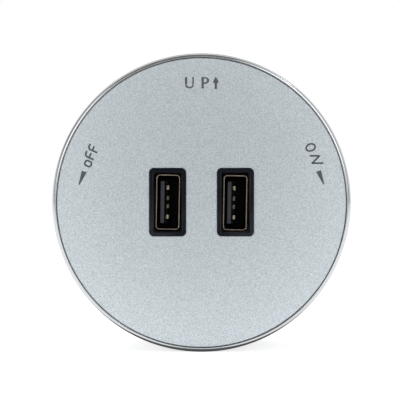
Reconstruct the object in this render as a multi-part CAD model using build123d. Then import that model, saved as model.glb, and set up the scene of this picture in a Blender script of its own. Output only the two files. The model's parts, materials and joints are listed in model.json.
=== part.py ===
from build123d import *
from math import cos, pi, radians, sin, sqrt
import os

# A round socket module for a wall power track: a head with two charging ports twists on a base plate.
# Sizes are millimetres. Pieces are drawn with X to the right, Y towards the UP mark and Z out of the
# face, from zero at the track's face. The last step turns them, so that Z is up and the face looks
# along -Y. The module is drawn seated on its track and twisted to ON.

# Overall sizes: across the bezel ring, and from the head's floor to the front of the face plate
module_diameter = 70.0
head_depth = 24.6

# Clearances
running_gap = 0.3
seat_gap = 0.1
twist_angle = 90.0

# Stack of plates from the track's face forwards
base_thickness = 6.0
washer_thickness = 0.4
floor_thickness = 2.0
panel_thickness = 2.0
panel_rim_thickness = 0.8
face_plate_thickness = 1.2

# Bezel ring and housing
ring_width = 0.9
ring_rise = 0.3
ring_flange_thickness = 0.8
ring_skirt_wall = 0.55
ring_skirt_length = 1.2
ring_outer_round = 0.55
ring_inner_round = 0.2
face_gap = 0.15
face_edge_round = 0.12
housing_taper = 0.75
housing_wall = 1.8
housing_rim_chamfer = 0.4
skirt_gap = 0.9

# Port frames, which are part of the port panel
port_spacing = 15.9
port_rise = 0.1
frame_width = 8.6
frame_height = 15.9
frame_corner = 1.0
frame_rise = 0.3
frame_edge_round = 0.2
frame_land = 0.75
frame_cutout_gap = 0.08
funnel_depth = 1.7
guide_wall = 1.0
guide_length = 2.6

# Receptacles
shell_width = 5.7
shell_height = 13.1
shell_corner = 0.9
shell_sheet = 0.3
shell_length = 14.0
shell_recess = 2.55
shell_gap = 0.35
receptacle_tilt = -1.0
receptacle_drops = {"left": 0.0, "right": 0.15}
shell_leg_width = 1.8
shell_leg_reach = 1.0
finger_width = 1.9
finger_length = 5.4
finger_root = 3.1
finger_bend = 0.4
finger_spread = 6.7
finger_sheet = 0.25
finger_slit = 0.3
finger_start_share = 0.1
finger_dent_share = 0.7
tongue_recess = 1.7
tongue_height = 10.2
tongue_front_thickness = 1.06
tongue_thickness = 1.84
tongue_wall_gap = 0.62
tongue_step = 1.2
tongue_chamfer = 0.18
insulator_block = 4.0
insulator_fit = 0.05
contact_sheet = 0.2
contact_width = 1.0
contact_slot_width = 1.3
contact_slot_depth = 0.7
contact_lie = 0.5
contact_bulge = 0.17
contact_tail_width = 0.6
contact_tail_reach = 0.7
outer_contact_place = 3.5
inner_contact_place = 1.0
outer_contact_crest = 2.2
inner_contact_crest = 3.3
contact_slope = 1.7
contact_front_share = 0.55
contact_bend = 0.6
contact_rise = 3.0

# Power board
board_thickness = 1.6
board_gap = 0.4
board_notch_gap = 0.5
ledge_width = 6.0
ledge_depth = 4.5
solder_hole = 0.5

# Screws
panel_screw_head = 2.1
panel_screw_head_height = 1.6
panel_screw_radius = 1.2
panel_screw_length = 9.0
post_radius = 2.4
boss_margin = 0.5
boss_height = 1.8
small_screw_head = 1.7
small_screw_head_height = 1.2
small_screw_radius = 0.95
board_screw_length = 4.0
flange_screw_length = 3.8
screw_tip_room = 0.3
head_round_share = 0.3
cross_reach_share = 1.3
cross_width_share = 0.26
cross_floor_share = 0.45

# Track key
shaft_radius = 10.0
shaft_end_gap = 0.3
flange_width = 3.4
flange_thickness = 2.2
neck_radius = 4.7
neck_length = 3.0
key_width = 9.4
key_length = 24.0
key_corner = 2.2
key_tip_chamfer = 1.2
spacer_thickness = 5.0
cap_thickness = 7.0
key_screw_place = 2.6
key_screw_head = 1.6
key_screw_head_height = 1.3
key_screw_radius = 0.9
key_screw_sink = 1.6
key_screw_grip = 2.0

# Track contacts and leads
strip_sheet = 0.5
strip_width = 4.0
strip_bend = 0.5
strip_stand_off = 0.5
strip_bulge = 1.6
strip_drop = 3.4
strip_start = 1.4
earth_plate_width = 8.4
earth_plate_length = 10.0
earth_drop = 3.0
lead_place = 2.4
lead_radius = 0.8
lead_core_radius = 0.4
lead_solder_reach = 0.8

# Base plate
base_gap = 0.8
base_edge_chamfer = 0.6
rib_width = 9.2
rib_height = 2.2
rib_inner_margin = 3.0
rib_outer_margin = 4.0
rib_corner = 1.5
washer_width = 3.4
washer_bore_gap = 0.6

# Shoulder screws, which hold the base on and stop the twist in arc slots
shoulder_radius = 2.0
shoulder_head_radius = 2.85
shoulder_head_height = 1.8
shoulder_head_sink = 0.4
shoulder_play = 0.2
shoulder_thread_radius = 1.5
shoulder_thread_length = 3.8
shoulder_boss_radius = 3.2
shoulder_boss_height = 2.0
shoulder_boss_gap = 0.4
first_stop_angle = 45.0

# Lock pins
pin_travel = 2.0
pin_button_radius = 2.1
pin_button_chamfer = 0.5
pin_collar_radius = 2.5
pin_collar_thickness = 0.5
pin_neck_radius = 1.2
pin_cap_radius = 2.2
pin_cap_height = 1.4
pin_cap_lift = 0.2
pin_pocket_wall = 1.05
pocket_floor = 1.0
cover_thickness = 0.8
cover_seat_width = 1.0
spring_wire = 0.35
spring_radius = 1.85
spring_turns = 3

# Transformer, standing on the board above the ports
core_width = 13.0
core_depth = 5.5
core_height = 11.5
core_leg = 3.0
core_yoke = 2.25
winding_wall = 2.5
winding_corner = 1.0
former_wall = 0.5
former_fit = 0.1
transformer_at = (0, 17.6)

# Round components on the board
bulk_capacitor_radius = 4.0
bulk_capacitor_height = 11.0
bulk_capacitor_places = ((-17.5, 9.6), (-19.8, 0.4))
output_capacitor_radius = 3.15
output_capacitor_height = 9.0
output_capacitor_places = ((17.6, 8.6), (17.9, 1.2))
can_groove_place = 1.5
can_groove_depth = 0.3
can_edge = 0.35
can_score = 0.25
fuse_radius = 4.0
fuse_height = 7.5
fuse_edge = 0.4
fuse_at = (-17.8, -10.6)
choke_radius = 4.2
choke_height = 9.0
choke_flange = 1.2
choke_waist = 0.5
choke_at = (-9.0, -17.5)
safety_radius = 3.6
safety_thickness = 3.0
safety_edge = 1.2
safety_leg = 1.2
safety_leg_radius = 0.35
safety_leg_place = 2.2
safety_at = (11.9, 12.9)

# Flat components: width, height and thickness
bridge_size = (5.0, 6.5, 2.4)
bridge_at = (-11.0, 21.6)
optocoupler_size = (6.4, 4.6, 3.4)
optocoupler_pitch = 2.54
optocoupler_at = (0.0, -11.5)
switch_size = (3.9, 4.9, 1.5)
switch_pitch = 1.27
switch_at = (-20.5, 6.0)
charge_size = (3.0, 3.0, 1.2)
charge_pitch = 0.95
charge_places = ((-17.5, -15.5), (17.5, -15.5))
diode_size = (4.4, 3.4, 2.0)
diode_places = ((10.0, -13.0), (16.8, -13.0))
inductor_size = (6.4, 6.4, 4.0)
inductor_at = (17.8, -6.0)
resistor_size = (2.0, 1.2, 0.5)
resistor_start = (2.0, -21.5)
resistor_columns = 4
resistor_rows = 2
resistor_step = (3.2, 2.6)
chip_leg_reach = 0.9
chip_leg_width = 0.45
chip_leg_share = 0.25

# Levels
floor_rear = base_thickness + washer_thickness
floor_front = floor_rear + floor_thickness
face_front = floor_rear + head_depth
panel_front = face_front - face_plate_thickness
panel_rear = panel_front - panel_thickness
panel_rim_rear = panel_front - panel_rim_thickness
housing_front = panel_rim_rear - ring_flange_thickness
frame_front = face_front + frame_rise
shell_front = frame_front - shell_recess
board_front = shell_front - shell_length
board_rear = board_front - board_thickness
tongue_front = shell_front - tongue_recess
flange_front = floor_front + flange_thickness
boss_front = floor_front + boss_height
screw_seat = boss_front - panel_screw_head_height
neck_rear = -neck_length
spacer_rear = neck_rear - spacer_thickness
cap_rear = spacer_rear - cap_thickness
counterbore_depth = shoulder_head_sink + shoulder_head_height + shoulder_play
pin_collar_rear = pocket_floor + pin_travel
pin_collar_front = pin_collar_rear + pin_collar_thickness
pin_cap_rear = floor_front + pin_cap_lift
cover_rear = base_thickness - cover_thickness

# Radii
ring_outer = module_diameter / 2
ring_inner = ring_outer - ring_width
face_radius = ring_inner - face_gap
housing_front_radius = ring_outer - ring_skirt_wall - seat_gap
housing_rear_radius = housing_front_radius - housing_taper
bore_radius = housing_rear_radius - housing_wall
base_radius = bore_radius - base_gap
board_radius = bore_radius - board_gap
post_circle = bore_radius - post_radius
board_screw_circle = bore_radius - ledge_depth + small_screw_head + running_gap
flange_radius = shaft_radius + flange_width
flange_screw_circle = shaft_radius + flange_width - small_screw_head + seat_gap
shoulder_circle = flange_radius + shoulder_boss_gap + shoulder_boss_radius
counterbore_radius = shoulder_head_radius + running_gap
pin_pocket_radius = pin_collar_radius + running_gap
lock_circle = shoulder_circle + counterbore_radius + pin_pocket_wall + pin_pocket_radius

# Places of repeated pieces
port_places = {"left": -port_spacing / 2, "right": port_spacing / 2}
post_angles = (45, 135, 225, 315)
ledge_angles = (0, 90, 180, 270)
board_screw_angles = (0, 180)
flange_screw_angles = (60, 180, 300)
shoulder_angles = (first_stop_angle, first_stop_angle + 180)
contact_places = {
    outer_contact_place: outer_contact_crest,
    inner_contact_place: inner_contact_crest,
    -inner_contact_place: inner_contact_crest,
    -outer_contact_place: outer_contact_crest,
}


def on_circle(radius, angle):
    """The point at an angle on a circle about the head's axis."""
    return (radius * cos(radians(angle)), radius * sin(radians(angle)))


def disc(radius, bottom, top, at=(0, 0)):
    """A cylinder between two levels."""
    shape = Cylinder(radius, top - bottom, align=(Align.CENTER, Align.CENTER, Align.MIN))
    return Pos(at[0], at[1], bottom) * shape


def slab(width, height, bottom, top, corner=0, at=(0, 0)):
    """A plate between two levels, with its upright edges rounded."""
    outline = RectangleRounded(width, height, corner) if corner else Rectangle(width, height)
    return Pos(at[0], at[1], bottom) * extrude(outline, amount=top - bottom)


def turned(corners, at=(0, 0)):
    """A solid of revolution about an upright axis from corners of radius and level."""
    outline = Polyline(*[(radius, 0, level) for radius, level in corners], close=True)
    return Pos(at[0], at[1], 0) * revolve(make_face(outline), Axis.Z)


def arc_groove(circle, half_width, start, bottom, top):
    """A round-ended slot that follows the twist from a start angle."""
    centre_line = CenterArc((0, 0), circle, start, twist_angle)
    return Pos(0, 0, bottom) * extrude(SlotArc(centre_line, 2 * half_width), amount=top - bottom)


def bent_strip(plane, points, sheet, width, bend):
    """A strip of sheet bent along points in a plane and as wide as given across it."""
    centre_line = FilletPolyline(*points, radius=bend)
    flat = extrude(trace(centre_line, sheet), amount=width / 2, both=True)
    return plane * flat


def screw(at, seat, head, head_height, radius, length, facing=1):
    """A cross-slotted screw whose head stands on its seat and faces forwards, or rearwards at -1."""
    body = disc(head, 0, head_height) + disc(radius, -length, 0)
    rim = body.edges().filter_by(GeomType.CIRCLE).sort_by(Axis.Z)[-1]
    body = fillet(rim, head_height * head_round_share)
    cross_floor = head_height * cross_floor_share
    for angle in (0, 90):
        cut = slab(head * cross_reach_share, head * cross_width_share, cross_floor, head_height)
        body -= Rot(0, 0, angle) * cut
    if facing < 0:
        body = Rot(180, 0, 0) * body
    return Pos(at[0], at[1], seat) * body


def face_plate():
    """The silver disc with a cut-out for each port frame."""
    plate = disc(face_radius, panel_front, face_front)
    for place in port_places.values():
        plate -= slab(
            frame_width + 2 * frame_cutout_gap,
            frame_height + 2 * frame_cutout_gap,
            panel_front,
            face_front,
            frame_corner + frame_cutout_gap,
            (place, port_rise),
        )
    front_edges = plate.faces().sort_by(Axis.Z)[-1].edges()
    return fillet(front_edges, face_edge_round)


def bezel_ring():
    """The chromed ring: a flange held under the panel's rim and a skirt over the housing."""
    top = face_front + ring_rise
    skirt_end = housing_front - ring_skirt_length
    ring = turned([
        (ring_outer, skirt_end),
        (ring_outer, top),
        (ring_inner, top),
        (ring_inner, panel_rim_rear),
        (housing_front_radius - housing_wall, panel_rim_rear),
        (housing_front_radius - housing_wall, housing_front),
        (housing_front_radius + seat_gap, housing_front),
        (housing_front_radius + seat_gap, skirt_end),
    ])
    top_edges = ring.faces().sort_by(Axis.Z)[-1].edges().sort_by(SortBy.RADIUS)
    ring = fillet(top_edges[-1], ring_outer_round)
    inner_edge = ring.faces().sort_by(Axis.Z)[-1].edges().sort_by(SortBy.RADIUS)[0]
    return fillet(inner_edge, ring_inner_round)


def port_frame(place):
    """One raised frame with rounded edges and the guide wall behind it."""
    at = (place, port_rise)
    frame = slab(frame_width, frame_height, panel_front, frame_front, frame_corner, at)
    frame -= port_way(place)
    frame = fillet(frame.faces().sort_by(Axis.Z)[-1].edges(), frame_edge_round)
    guide_out = 2 * (shell_gap + guide_wall)
    guide = slab(
        shell_width + guide_out,
        shell_height + guide_out,
        panel_rear - guide_length,
        panel_rear,
        shell_corner + guide_wall,
        at,
    )
    return frame + (guide - port_way(place))


def port_way(place):
    """The space that a port frame leaves: a funnel in front and a straight way for the shell."""
    at = (place, port_rise)
    funnel_rear = frame_front - funnel_depth
    mouth_corner = frame_corner - frame_land / 2
    mouth = RectangleRounded(frame_width - 2 * frame_land, frame_height - 2 * frame_land, mouth_corner)
    throat = RectangleRounded(
        shell_width + 2 * shell_gap, shell_height + 2 * shell_gap, shell_corner + shell_gap / 2
    )
    funnel = loft([Pos(at[0], at[1], funnel_rear) * throat, Pos(at[0], at[1], frame_front) * mouth])
    way = Pos(at[0], at[1], panel_rear - guide_length) * extrude(
        throat, amount=funnel_rear - panel_rear + guide_length
    )
    return funnel + way


def port_panel():
    """The black panel behind the face plate, with both port frames and four screw posts."""
    rim_radius = face_radius - seat_gap
    body_radius = housing_front_radius - housing_wall - seat_gap
    panel = disc(body_radius, panel_rear, panel_front) + disc(rim_radius, panel_rim_rear, panel_front)
    for place in port_places.values():
        panel = panel - port_way(place) + port_frame(place)
    for angle in post_angles:
        at = on_circle(post_circle, angle)
        panel += disc(post_radius, boss_front, panel_rear, at)
        bore_end = screw_seat + panel_screw_length + screw_tip_room
        panel -= disc(panel_screw_radius + seat_gap / 2, boss_front, bore_end, at)
    return panel


def housing_shell():
    """The drafted wall and the floor of the head's cup."""
    wall = turned([
        (bore_radius, skirt_gap),
        (housing_rear_radius - housing_rim_chamfer, skirt_gap),
        (housing_rear_radius, skirt_gap + housing_rim_chamfer),
        (housing_front_radius, housing_front),
        (housing_front_radius - housing_wall, housing_front),
    ])
    return wall + disc(bore_radius + housing_wall / 2, floor_rear, floor_front)


def housing_bosses():
    """Bosses under the panel's posts and round the shoulder screws, and ledges under the board."""
    pieces = []
    for angle in post_angles:
        at = on_circle(post_circle, angle)
        pieces.append(disc(post_radius + boss_margin, floor_front, boss_front, at))
    for angle in shoulder_angles:
        at = on_circle(shoulder_circle, angle)
        pieces.append(disc(shoulder_boss_radius, floor_front, floor_front + shoulder_boss_height, at))
    ledge_middle = bore_radius - ledge_depth / 2 + housing_wall / 4
    for angle in ledge_angles:
        ledge = slab(ledge_depth + housing_wall / 2, ledge_width, floor_front, board_rear)
        pieces.append(Rot(0, 0, angle) * Pos(ledge_middle, 0, 0) * ledge)
    return pieces


def lock_keyholes():
    """Arc slots that the lock pins' necks run in, with a round hole for the cap at each end."""
    cuts = []
    for start in (0, 180):
        cuts.append(arc_groove(lock_circle, pin_neck_radius + running_gap, start, floor_rear, floor_front))
        for angle in (start, start + twist_angle):
            at = on_circle(lock_circle, angle)
            cuts.append(disc(pin_cap_radius + running_gap, floor_rear, floor_front, at))
    return cuts


def housing_holes():
    """The shaft's bore and every screw hole in the head's floor."""
    cuts = [disc(shaft_radius + seat_gap, floor_rear, floor_front)]
    for angle in post_angles:
        at = on_circle(post_circle, angle)
        cuts.append(disc(panel_screw_head + seat_gap, floor_rear, screw_seat, at))
        cuts.append(disc(panel_screw_radius + seat_gap, floor_rear, boss_front, at))
    for angle in shoulder_angles:
        at = on_circle(shoulder_circle, angle)
        thread_end = floor_rear + shoulder_thread_length + seat_gap
        cuts.append(disc(shoulder_thread_radius + seat_gap / 2, floor_rear, thread_end, at))
    for angle in flange_screw_angles:
        at = on_circle(flange_screw_circle, angle)
        hole_end = flange_front - flange_screw_length - seat_gap
        cuts.append(disc(small_screw_radius + seat_gap / 2, hole_end, floor_front, at))
    for angle in board_screw_angles:
        at = on_circle(board_screw_circle, angle)
        hole_end = board_front - board_screw_length - screw_tip_room
        cuts.append(disc(small_screw_radius + seat_gap / 2, hole_end, board_rear, at))
    return cuts


def head_housing():
    """The silver cup that holds the board and turns on the base."""
    housing = housing_shell()
    for piece in housing_bosses():
        housing += piece
    for cut in housing_holes() + lock_keyholes():
        housing -= cut
    return housing


def panel_screws():
    """Four screws from the floor's rear into the panel's posts."""
    return [
        screw(
            on_circle(post_circle, angle),
            screw_seat,
            panel_screw_head,
            panel_screw_head_height,
            panel_screw_radius,
            panel_screw_length,
            -1,
        )
        for angle in post_angles
    ]


def board_screws():
    """Two screws from the board into its ledges."""
    return [
        screw(
            on_circle(board_screw_circle, angle),
            board_front,
            small_screw_head,
            small_screw_head_height,
            small_screw_radius,
            board_screw_length,
        )
        for angle in board_screw_angles
    ]


def seat_receptacle(name, piece):
    """Put a receptacle's piece in its port: a little turned and low, as the receptacles sit."""
    drop = receptacle_drops[name]
    return Pos(port_places[name], port_rise - drop, 0) * Rot(0, 0, receptacle_tilt) * piece


def grip_finger(side, height):
    """One sprung finger of a receptacle's shell, rooted near the mouth and bent inwards."""
    wall = side * (shell_width - shell_sheet) / 2
    root = shell_front - finger_root
    inward = wall - side * finger_bend
    points = [
        (wall, root + shell_sheet),
        (wall, root - finger_length * finger_start_share),
        (inward, root - finger_length * finger_dent_share),
        (wall - side * finger_bend / 2, root - finger_length + finger_slit),
    ]
    strip = bent_strip(Plane.XZ, points, finger_sheet, finger_width, finger_sheet)
    return Pos(0, height, 0) * strip


def usb_shell():
    """A receptacle's folded shell, with sprung fingers in its broad walls and two legs."""
    inner_width = shell_width - 2 * shell_sheet
    inner_height = shell_height - 2 * shell_sheet
    shell = slab(shell_width, shell_height, board_front, shell_front, shell_corner)
    shell -= slab(inner_width, inner_height, board_front, shell_front, shell_corner - shell_sheet)
    window_top = shell_front - finger_root
    window_height = finger_width + 2 * finger_slit
    window = slab(3 * shell_sheet, window_height, window_top - finger_length, window_top)
    for side in (-1, 1):
        for height in (-finger_spread / 2, finger_spread / 2):
            shell -= Pos(side * shell_width / 2, height, 0) * window
            shell += grip_finger(side, height)
        leg_at = (0, side * (shell_height - shell_sheet) / 2)
        leg_end = board_rear - shell_leg_reach
        shell += slab(shell_leg_width, shell_sheet, leg_end, board_front + shell_sheet, 0, leg_at)
    return shell


def tongue_left():
    """Where a receptacle's tongue starts, from the port's middle."""
    return -(shell_width / 2 - shell_sheet - tongue_wall_gap)


def contact_level():
    """How far a receptacle's contacts lie from the port's middle."""
    return tongue_left() + tongue_thickness - contact_lie


def usb_insulator():
    """A receptacle's moulding: a block on the board and a stepped tongue with contact slots."""
    block_width = shell_width - 2 * shell_sheet - 2 * insulator_fit
    block_height = shell_height - 2 * shell_sheet - 2 * insulator_fit
    corner = shell_corner - shell_sheet
    moulding = slab(block_width, block_height, board_front, board_front + insulator_block, corner)
    start = tongue_left()
    thick_at = (start + tongue_thickness / 2, 0)
    moulding += slab(tongue_thickness, tongue_height, board_front, tongue_front - tongue_step, 0, thick_at)
    thin_at = (start + tongue_front_thickness / 2, 0)
    moulding += slab(tongue_front_thickness, tongue_height, board_front, tongue_front, 0, thin_at)
    front_edges = moulding.faces().sort_by(Axis.Z)[-1].edges()
    moulding = chamfer(front_edges, tongue_chamfer)
    slot_at = start + tongue_thickness - contact_slot_depth / 2
    for height in contact_places:
        slot = slab(contact_slot_depth, contact_slot_width, board_front, tongue_front, 0, (slot_at, height))
        moulding -= slot
    return moulding


def usb_contact(height, crest_depth):
    """One sprung contact: a solder tail, a straight run and a crest near the tongue's front."""
    lie = contact_level()
    crest = tongue_front - crest_depth
    crest_out = tongue_left() + tongue_thickness + contact_bulge - contact_sheet / 2
    points = [
        (lie, board_front),
        (lie, crest - contact_rise),
        (crest_out, crest),
        (lie, crest + contact_slope * contact_front_share),
    ]
    blade = bent_strip(Plane.XZ, points, contact_sheet, contact_width, contact_bend)
    tail_end = board_rear - contact_tail_reach
    tail = slab(contact_sheet, contact_tail_width, tail_end, board_front + contact_sheet, 0, (lie, 0))
    return Pos(0, height, 0) * (blade + tail)


def receptacle_holes():
    """The board's slots for a receptacle's legs and its holes for the solder tails."""
    cuts = []
    slot_width = shell_leg_width + 2 * running_gap
    slot_height = shell_sheet + 2 * running_gap
    for side in (-1, 1):
        leg_at = (0, side * (shell_height - shell_sheet) / 2)
        cuts.append(slab(slot_width, slot_height, board_rear, board_front, 0, leg_at))
    for height in contact_places:
        cuts.append(disc(solder_hole, board_rear, board_front, (contact_level(), height)))
    return cuts


def power_board():
    """The round board with notches for the posts and holes for everything that passes through."""
    board = disc(board_radius, board_rear, board_front)
    for angle in post_angles:
        at = on_circle(post_circle, angle)
        board -= disc(post_radius + board_notch_gap, board_rear, board_front, at)
    for angle in board_screw_angles:
        at = on_circle(board_screw_circle, angle)
        board -= disc(small_screw_radius + seat_gap, board_rear, board_front, at)
    for name in port_places:
        for cut in receptacle_holes():
            board -= seat_receptacle(name, cut)
    for side in (-1, 1):
        board -= disc(solder_hole, board_rear, board_front, (0, side * lead_place))
    return board


def transformer_core():
    """Two joined E halves: a frame with a middle leg."""
    core = slab(core_width, core_depth, board_front, board_front + core_height, 0, transformer_at)
    opening = winding_wall + former_fit
    for side in (-1, 1):
        at = (transformer_at[0] + side * (core_leg + opening) / 2, transformer_at[1])
        top = board_front + core_height - core_yoke
        core -= slab(opening, core_depth, board_front + core_yoke, top, 0, at)
    return core


def transformer_former():
    """The moulding that carries the winding: two flanges, a tube and two pin blocks."""
    width = core_leg + 2 * winding_wall
    depth = core_depth + 2 * winding_wall
    low = board_front + core_yoke + former_fit
    high = board_front + core_height - core_yoke - former_fit
    former = slab(width, depth, low, low + former_wall, 0, transformer_at)
    former += slab(width, depth, high - former_wall, high, 0, transformer_at)
    tube_out = 2 * (former_fit + former_wall)
    former += slab(core_leg + tube_out, core_depth + tube_out, low, high, 0, transformer_at)
    former -= slab(core_leg + 2 * former_fit, core_depth + 2 * former_fit, low, high, 0, transformer_at)
    block_depth = winding_wall - former_fit
    for side in (-1, 1):
        at = (transformer_at[0], transformer_at[1] + side * (core_depth / 2 + former_fit + block_depth / 2))
        former += slab(width, block_depth, board_front, low + former_wall, 0, at)
    return former


def transformer_winding():
    """The wound and taped coil between the former's flanges."""
    low = board_front + core_yoke + former_fit + former_wall
    high = board_front + core_height - core_yoke - former_fit - former_wall
    tube_out = 2 * (former_fit + former_wall) + seat_gap
    inner_width = core_leg + tube_out
    inner_depth = core_depth + tube_out
    outer_width = core_leg + 2 * winding_wall - seat_gap
    outer_depth = core_depth + 2 * winding_wall - seat_gap
    winding = slab(outer_width, outer_depth, low, high, winding_corner, transformer_at)
    return winding - slab(inner_width, inner_depth, low, high, 0, transformer_at)


def canister(radius, height, at):
    """An upright electrolytic capacitor with its rolled groove and scored top."""
    top = board_front + height
    groove = board_front + can_groove_place
    can = turned([
        (0, board_front),
        (radius - can_edge, board_front),
        (radius, board_front + can_edge),
        (radius, groove),
        (radius - can_groove_depth, groove + can_groove_depth),
        (radius, groove + 2 * can_groove_depth),
        (radius, top - can_edge),
        (radius - can_edge, top),
        (0, top),
    ], at)
    for angle in (45, 135):
        score = slab(radius, can_score, top - can_score, top)
        can -= Pos(at[0], at[1], 0) * Rot(0, 0, angle) * score
    return can


def bulk_capacitors():
    """Two mains-side capacitors."""
    return [
        canister(bulk_capacitor_radius, bulk_capacitor_height, at) for at in bulk_capacitor_places
    ]


def output_capacitors():
    """Two low-voltage capacitors."""
    return [
        canister(output_capacitor_radius, output_capacitor_height, at) for at in output_capacitor_places
    ]


def chip(at, size, side=1, legs=0, leg_pitch=0):
    """A flat component on the board's front, or on its rear at -1, with legs along two sides."""
    width, height, thickness = size
    low = board_front if side > 0 else board_rear - thickness
    body = slab(width, height, low, low + thickness, 0, at)
    leg_sheet = thickness * chip_leg_share
    leg_low = board_front if side > 0 else board_rear - leg_sheet
    for row in range(legs):
        leg_at = (at[0], at[1] + (row - (legs - 1) / 2) * leg_pitch)
        body += slab(width + 2 * chip_leg_reach, chip_leg_width, leg_low, leg_low + leg_sheet, 0, leg_at)
    return body


def mains_fuse():
    """The round mains fuse."""
    top = board_front + fuse_height
    return turned([
        (0, board_front),
        (fuse_radius, board_front),
        (fuse_radius, top - fuse_edge),
        (fuse_radius - fuse_edge, top),
        (0, top),
    ], fuse_at)


def filter_choke():
    """The filter choke: a drum with flanges either side of its winding."""
    top = board_front + choke_height
    waist = choke_radius - choke_waist
    return turned([
        (0, board_front),
        (choke_radius, board_front),
        (choke_radius, board_front + choke_flange),
        (waist, board_front + choke_flange),
        (waist, top - choke_flange),
        (choke_radius, top - choke_flange),
        (choke_radius, top),
        (0, top),
    ], choke_at)


def safety_capacitor():
    """The disc capacitor standing on its two short legs."""
    pill = Cylinder(safety_radius, safety_thickness)
    pill = fillet(pill.edges().filter_by(GeomType.CIRCLE), safety_edge)
    middle = board_front + safety_leg + safety_radius
    body = Pos(safety_at[0], safety_at[1], middle) * Rot(0, 90, 0) * pill
    for side in (-1, 1):
        leg_at = (safety_at[0], safety_at[1] + side * safety_leg_place)
        body += disc(safety_leg_radius, board_front, middle, leg_at)
    return body


def surface_resistors():
    """Chip resistors in rows below the ports."""
    pieces = []
    for column in range(resistor_columns):
        for row in range(resistor_rows):
            across = resistor_start[0] + column * resistor_step[0]
            down = resistor_start[1] - row * resistor_step[1]
            pieces.append(chip((across, down), resistor_size))
    return pieces


def key_screw_places():
    """Where the two screws of the track key stand."""
    return [(side * key_screw_place, 0) for side in (-1, 1)]


def lead_places():
    """Where the two mains leads stand."""
    return [(0, side * lead_place) for side in (-1, 1)]


def key_body():
    """The flange on the head's floor, the shaft through the base and the neck in the track's slot."""
    body = disc(flange_radius, floor_front, flange_front)
    body += disc(shaft_radius, shaft_end_gap, floor_front)
    body += disc(neck_radius, neck_rear, shaft_end_gap)
    for angle in flange_screw_angles:
        at = on_circle(flange_screw_circle, angle)
        body -= disc(small_screw_radius + seat_gap, floor_front, flange_front, at)
    for at in lead_places():
        body -= disc(lead_radius + seat_gap, neck_rear, flange_front, at)
    for at in key_screw_places():
        hole_end = neck_rear + key_screw_grip + neck_length + seat_gap
        body -= disc(key_screw_radius + seat_gap / 2, neck_rear, hole_end, at)
    return body


def key_spacer():
    """The upper half of the track key's hooking block, with a groove for the earth strip."""
    spacer = slab(key_width, key_length, spacer_rear, neck_rear, key_corner)
    groove_floor = neck_rear - strip_sheet - seat_gap
    groove_margin = 2 * seat_gap
    spacer -= slab(
        earth_plate_width + groove_margin, earth_plate_length + groove_margin, groove_floor, neck_rear
    )
    spacer -= slab(strip_width + groove_margin, key_length, groove_floor, neck_rear)
    for at in lead_places():
        spacer -= disc(lead_radius + seat_gap, spacer_rear, neck_rear, at)
    for at in key_screw_places():
        spacer -= disc(key_screw_radius + seat_gap, spacer_rear, neck_rear, at)
    return spacer


def key_cap():
    """The lower half of the hooking block, with grooves for the line and neutral strips."""
    cap = slab(key_width, key_length, cap_rear, spacer_rear, key_corner)
    cap = chamfer(cap.faces().sort_by(Axis.Z)[0].edges(), key_tip_chamfer)
    groove_floor = spacer_rear - strip_sheet - seat_gap
    groove_start = strip_start - seat_gap
    groove_length = key_length / 2 - groove_start
    for side in (-1, 1):
        at = (0, side * (groove_start + groove_length / 2))
        cap -= slab(strip_width + 2 * seat_gap, groove_length, groove_floor, spacer_rear, 0, at)
    for at in key_screw_places():
        cap -= disc(key_screw_radius + seat_gap, cap_rear, spacer_rear, at)
        cap -= disc(key_screw_head + seat_gap, cap_rear, cap_rear + key_screw_sink, at)
    return cap


def key_screws():
    """Two long screws that draw the cap and the spacer onto the neck."""
    seat = cap_rear + key_screw_sink
    length = neck_rear + key_screw_grip + neck_length - seat
    return [
        screw(at, seat, key_screw_head, key_screw_head_height, key_screw_radius, length, -1)
        for at in key_screw_places()
    ]


def key_flange_screws():
    """Three screws that hold the key's flange to the head's floor."""
    return [
        screw(
            on_circle(flange_screw_circle, angle),
            flange_front,
            small_screw_head,
            small_screw_head_height,
            small_screw_radius,
            flange_screw_length,
        )
        for angle in flange_screw_angles
    ]


def strip_points(start, level, drop):
    """The bends of a track contact that lies at a level and springs out past the key's end."""
    out = key_length / 2 + strip_stand_off
    return [
        (start, level),
        (out, level),
        (out + strip_bulge, level - drop / 2),
        (out, level - drop),
    ]


def power_contact(side):
    """The line contact at the key's upper end, or the neutral contact at its lower end at -1."""
    level = spacer_rear - seat_gap - strip_sheet / 2
    points = strip_points(strip_start, level, strip_drop)
    strip = bent_strip(Plane.YZ, points, strip_sheet, strip_width, strip_bend)
    return strip if side > 0 else Rot(0, 0, 180) * strip


def earth_contact():
    """The earth strip across the key, with a sprung end past each end of the key."""
    level = neck_rear - seat_gap - strip_sheet / 2
    plate = slab(
        earth_plate_width, earth_plate_length, level - strip_sheet / 2, level + strip_sheet / 2, strip_bend
    )
    arm = bent_strip(Plane.YZ, strip_points(0, level, earth_drop), strip_sheet, strip_width, strip_bend)
    contact = plate + arm + Rot(0, 0, 180) * arm
    for at in lead_places():
        contact -= disc(lead_radius + 2 * seat_gap, spacer_rear, neck_rear, at)
    for at in key_screw_places():
        contact -= disc(key_screw_radius + 2 * seat_gap, spacer_rear, neck_rear, at)
    return contact


def mains_lead(side):
    """An insulated lead from a power contact up to the board, where its bare core is soldered."""
    at = (0, side * lead_place)
    contact_front = spacer_rear - seat_gap
    sleeve = disc(lead_radius, contact_front, board_rear, at)
    return sleeve + disc(lead_core_radius, board_rear, board_front + lead_solder_reach, at)


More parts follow.
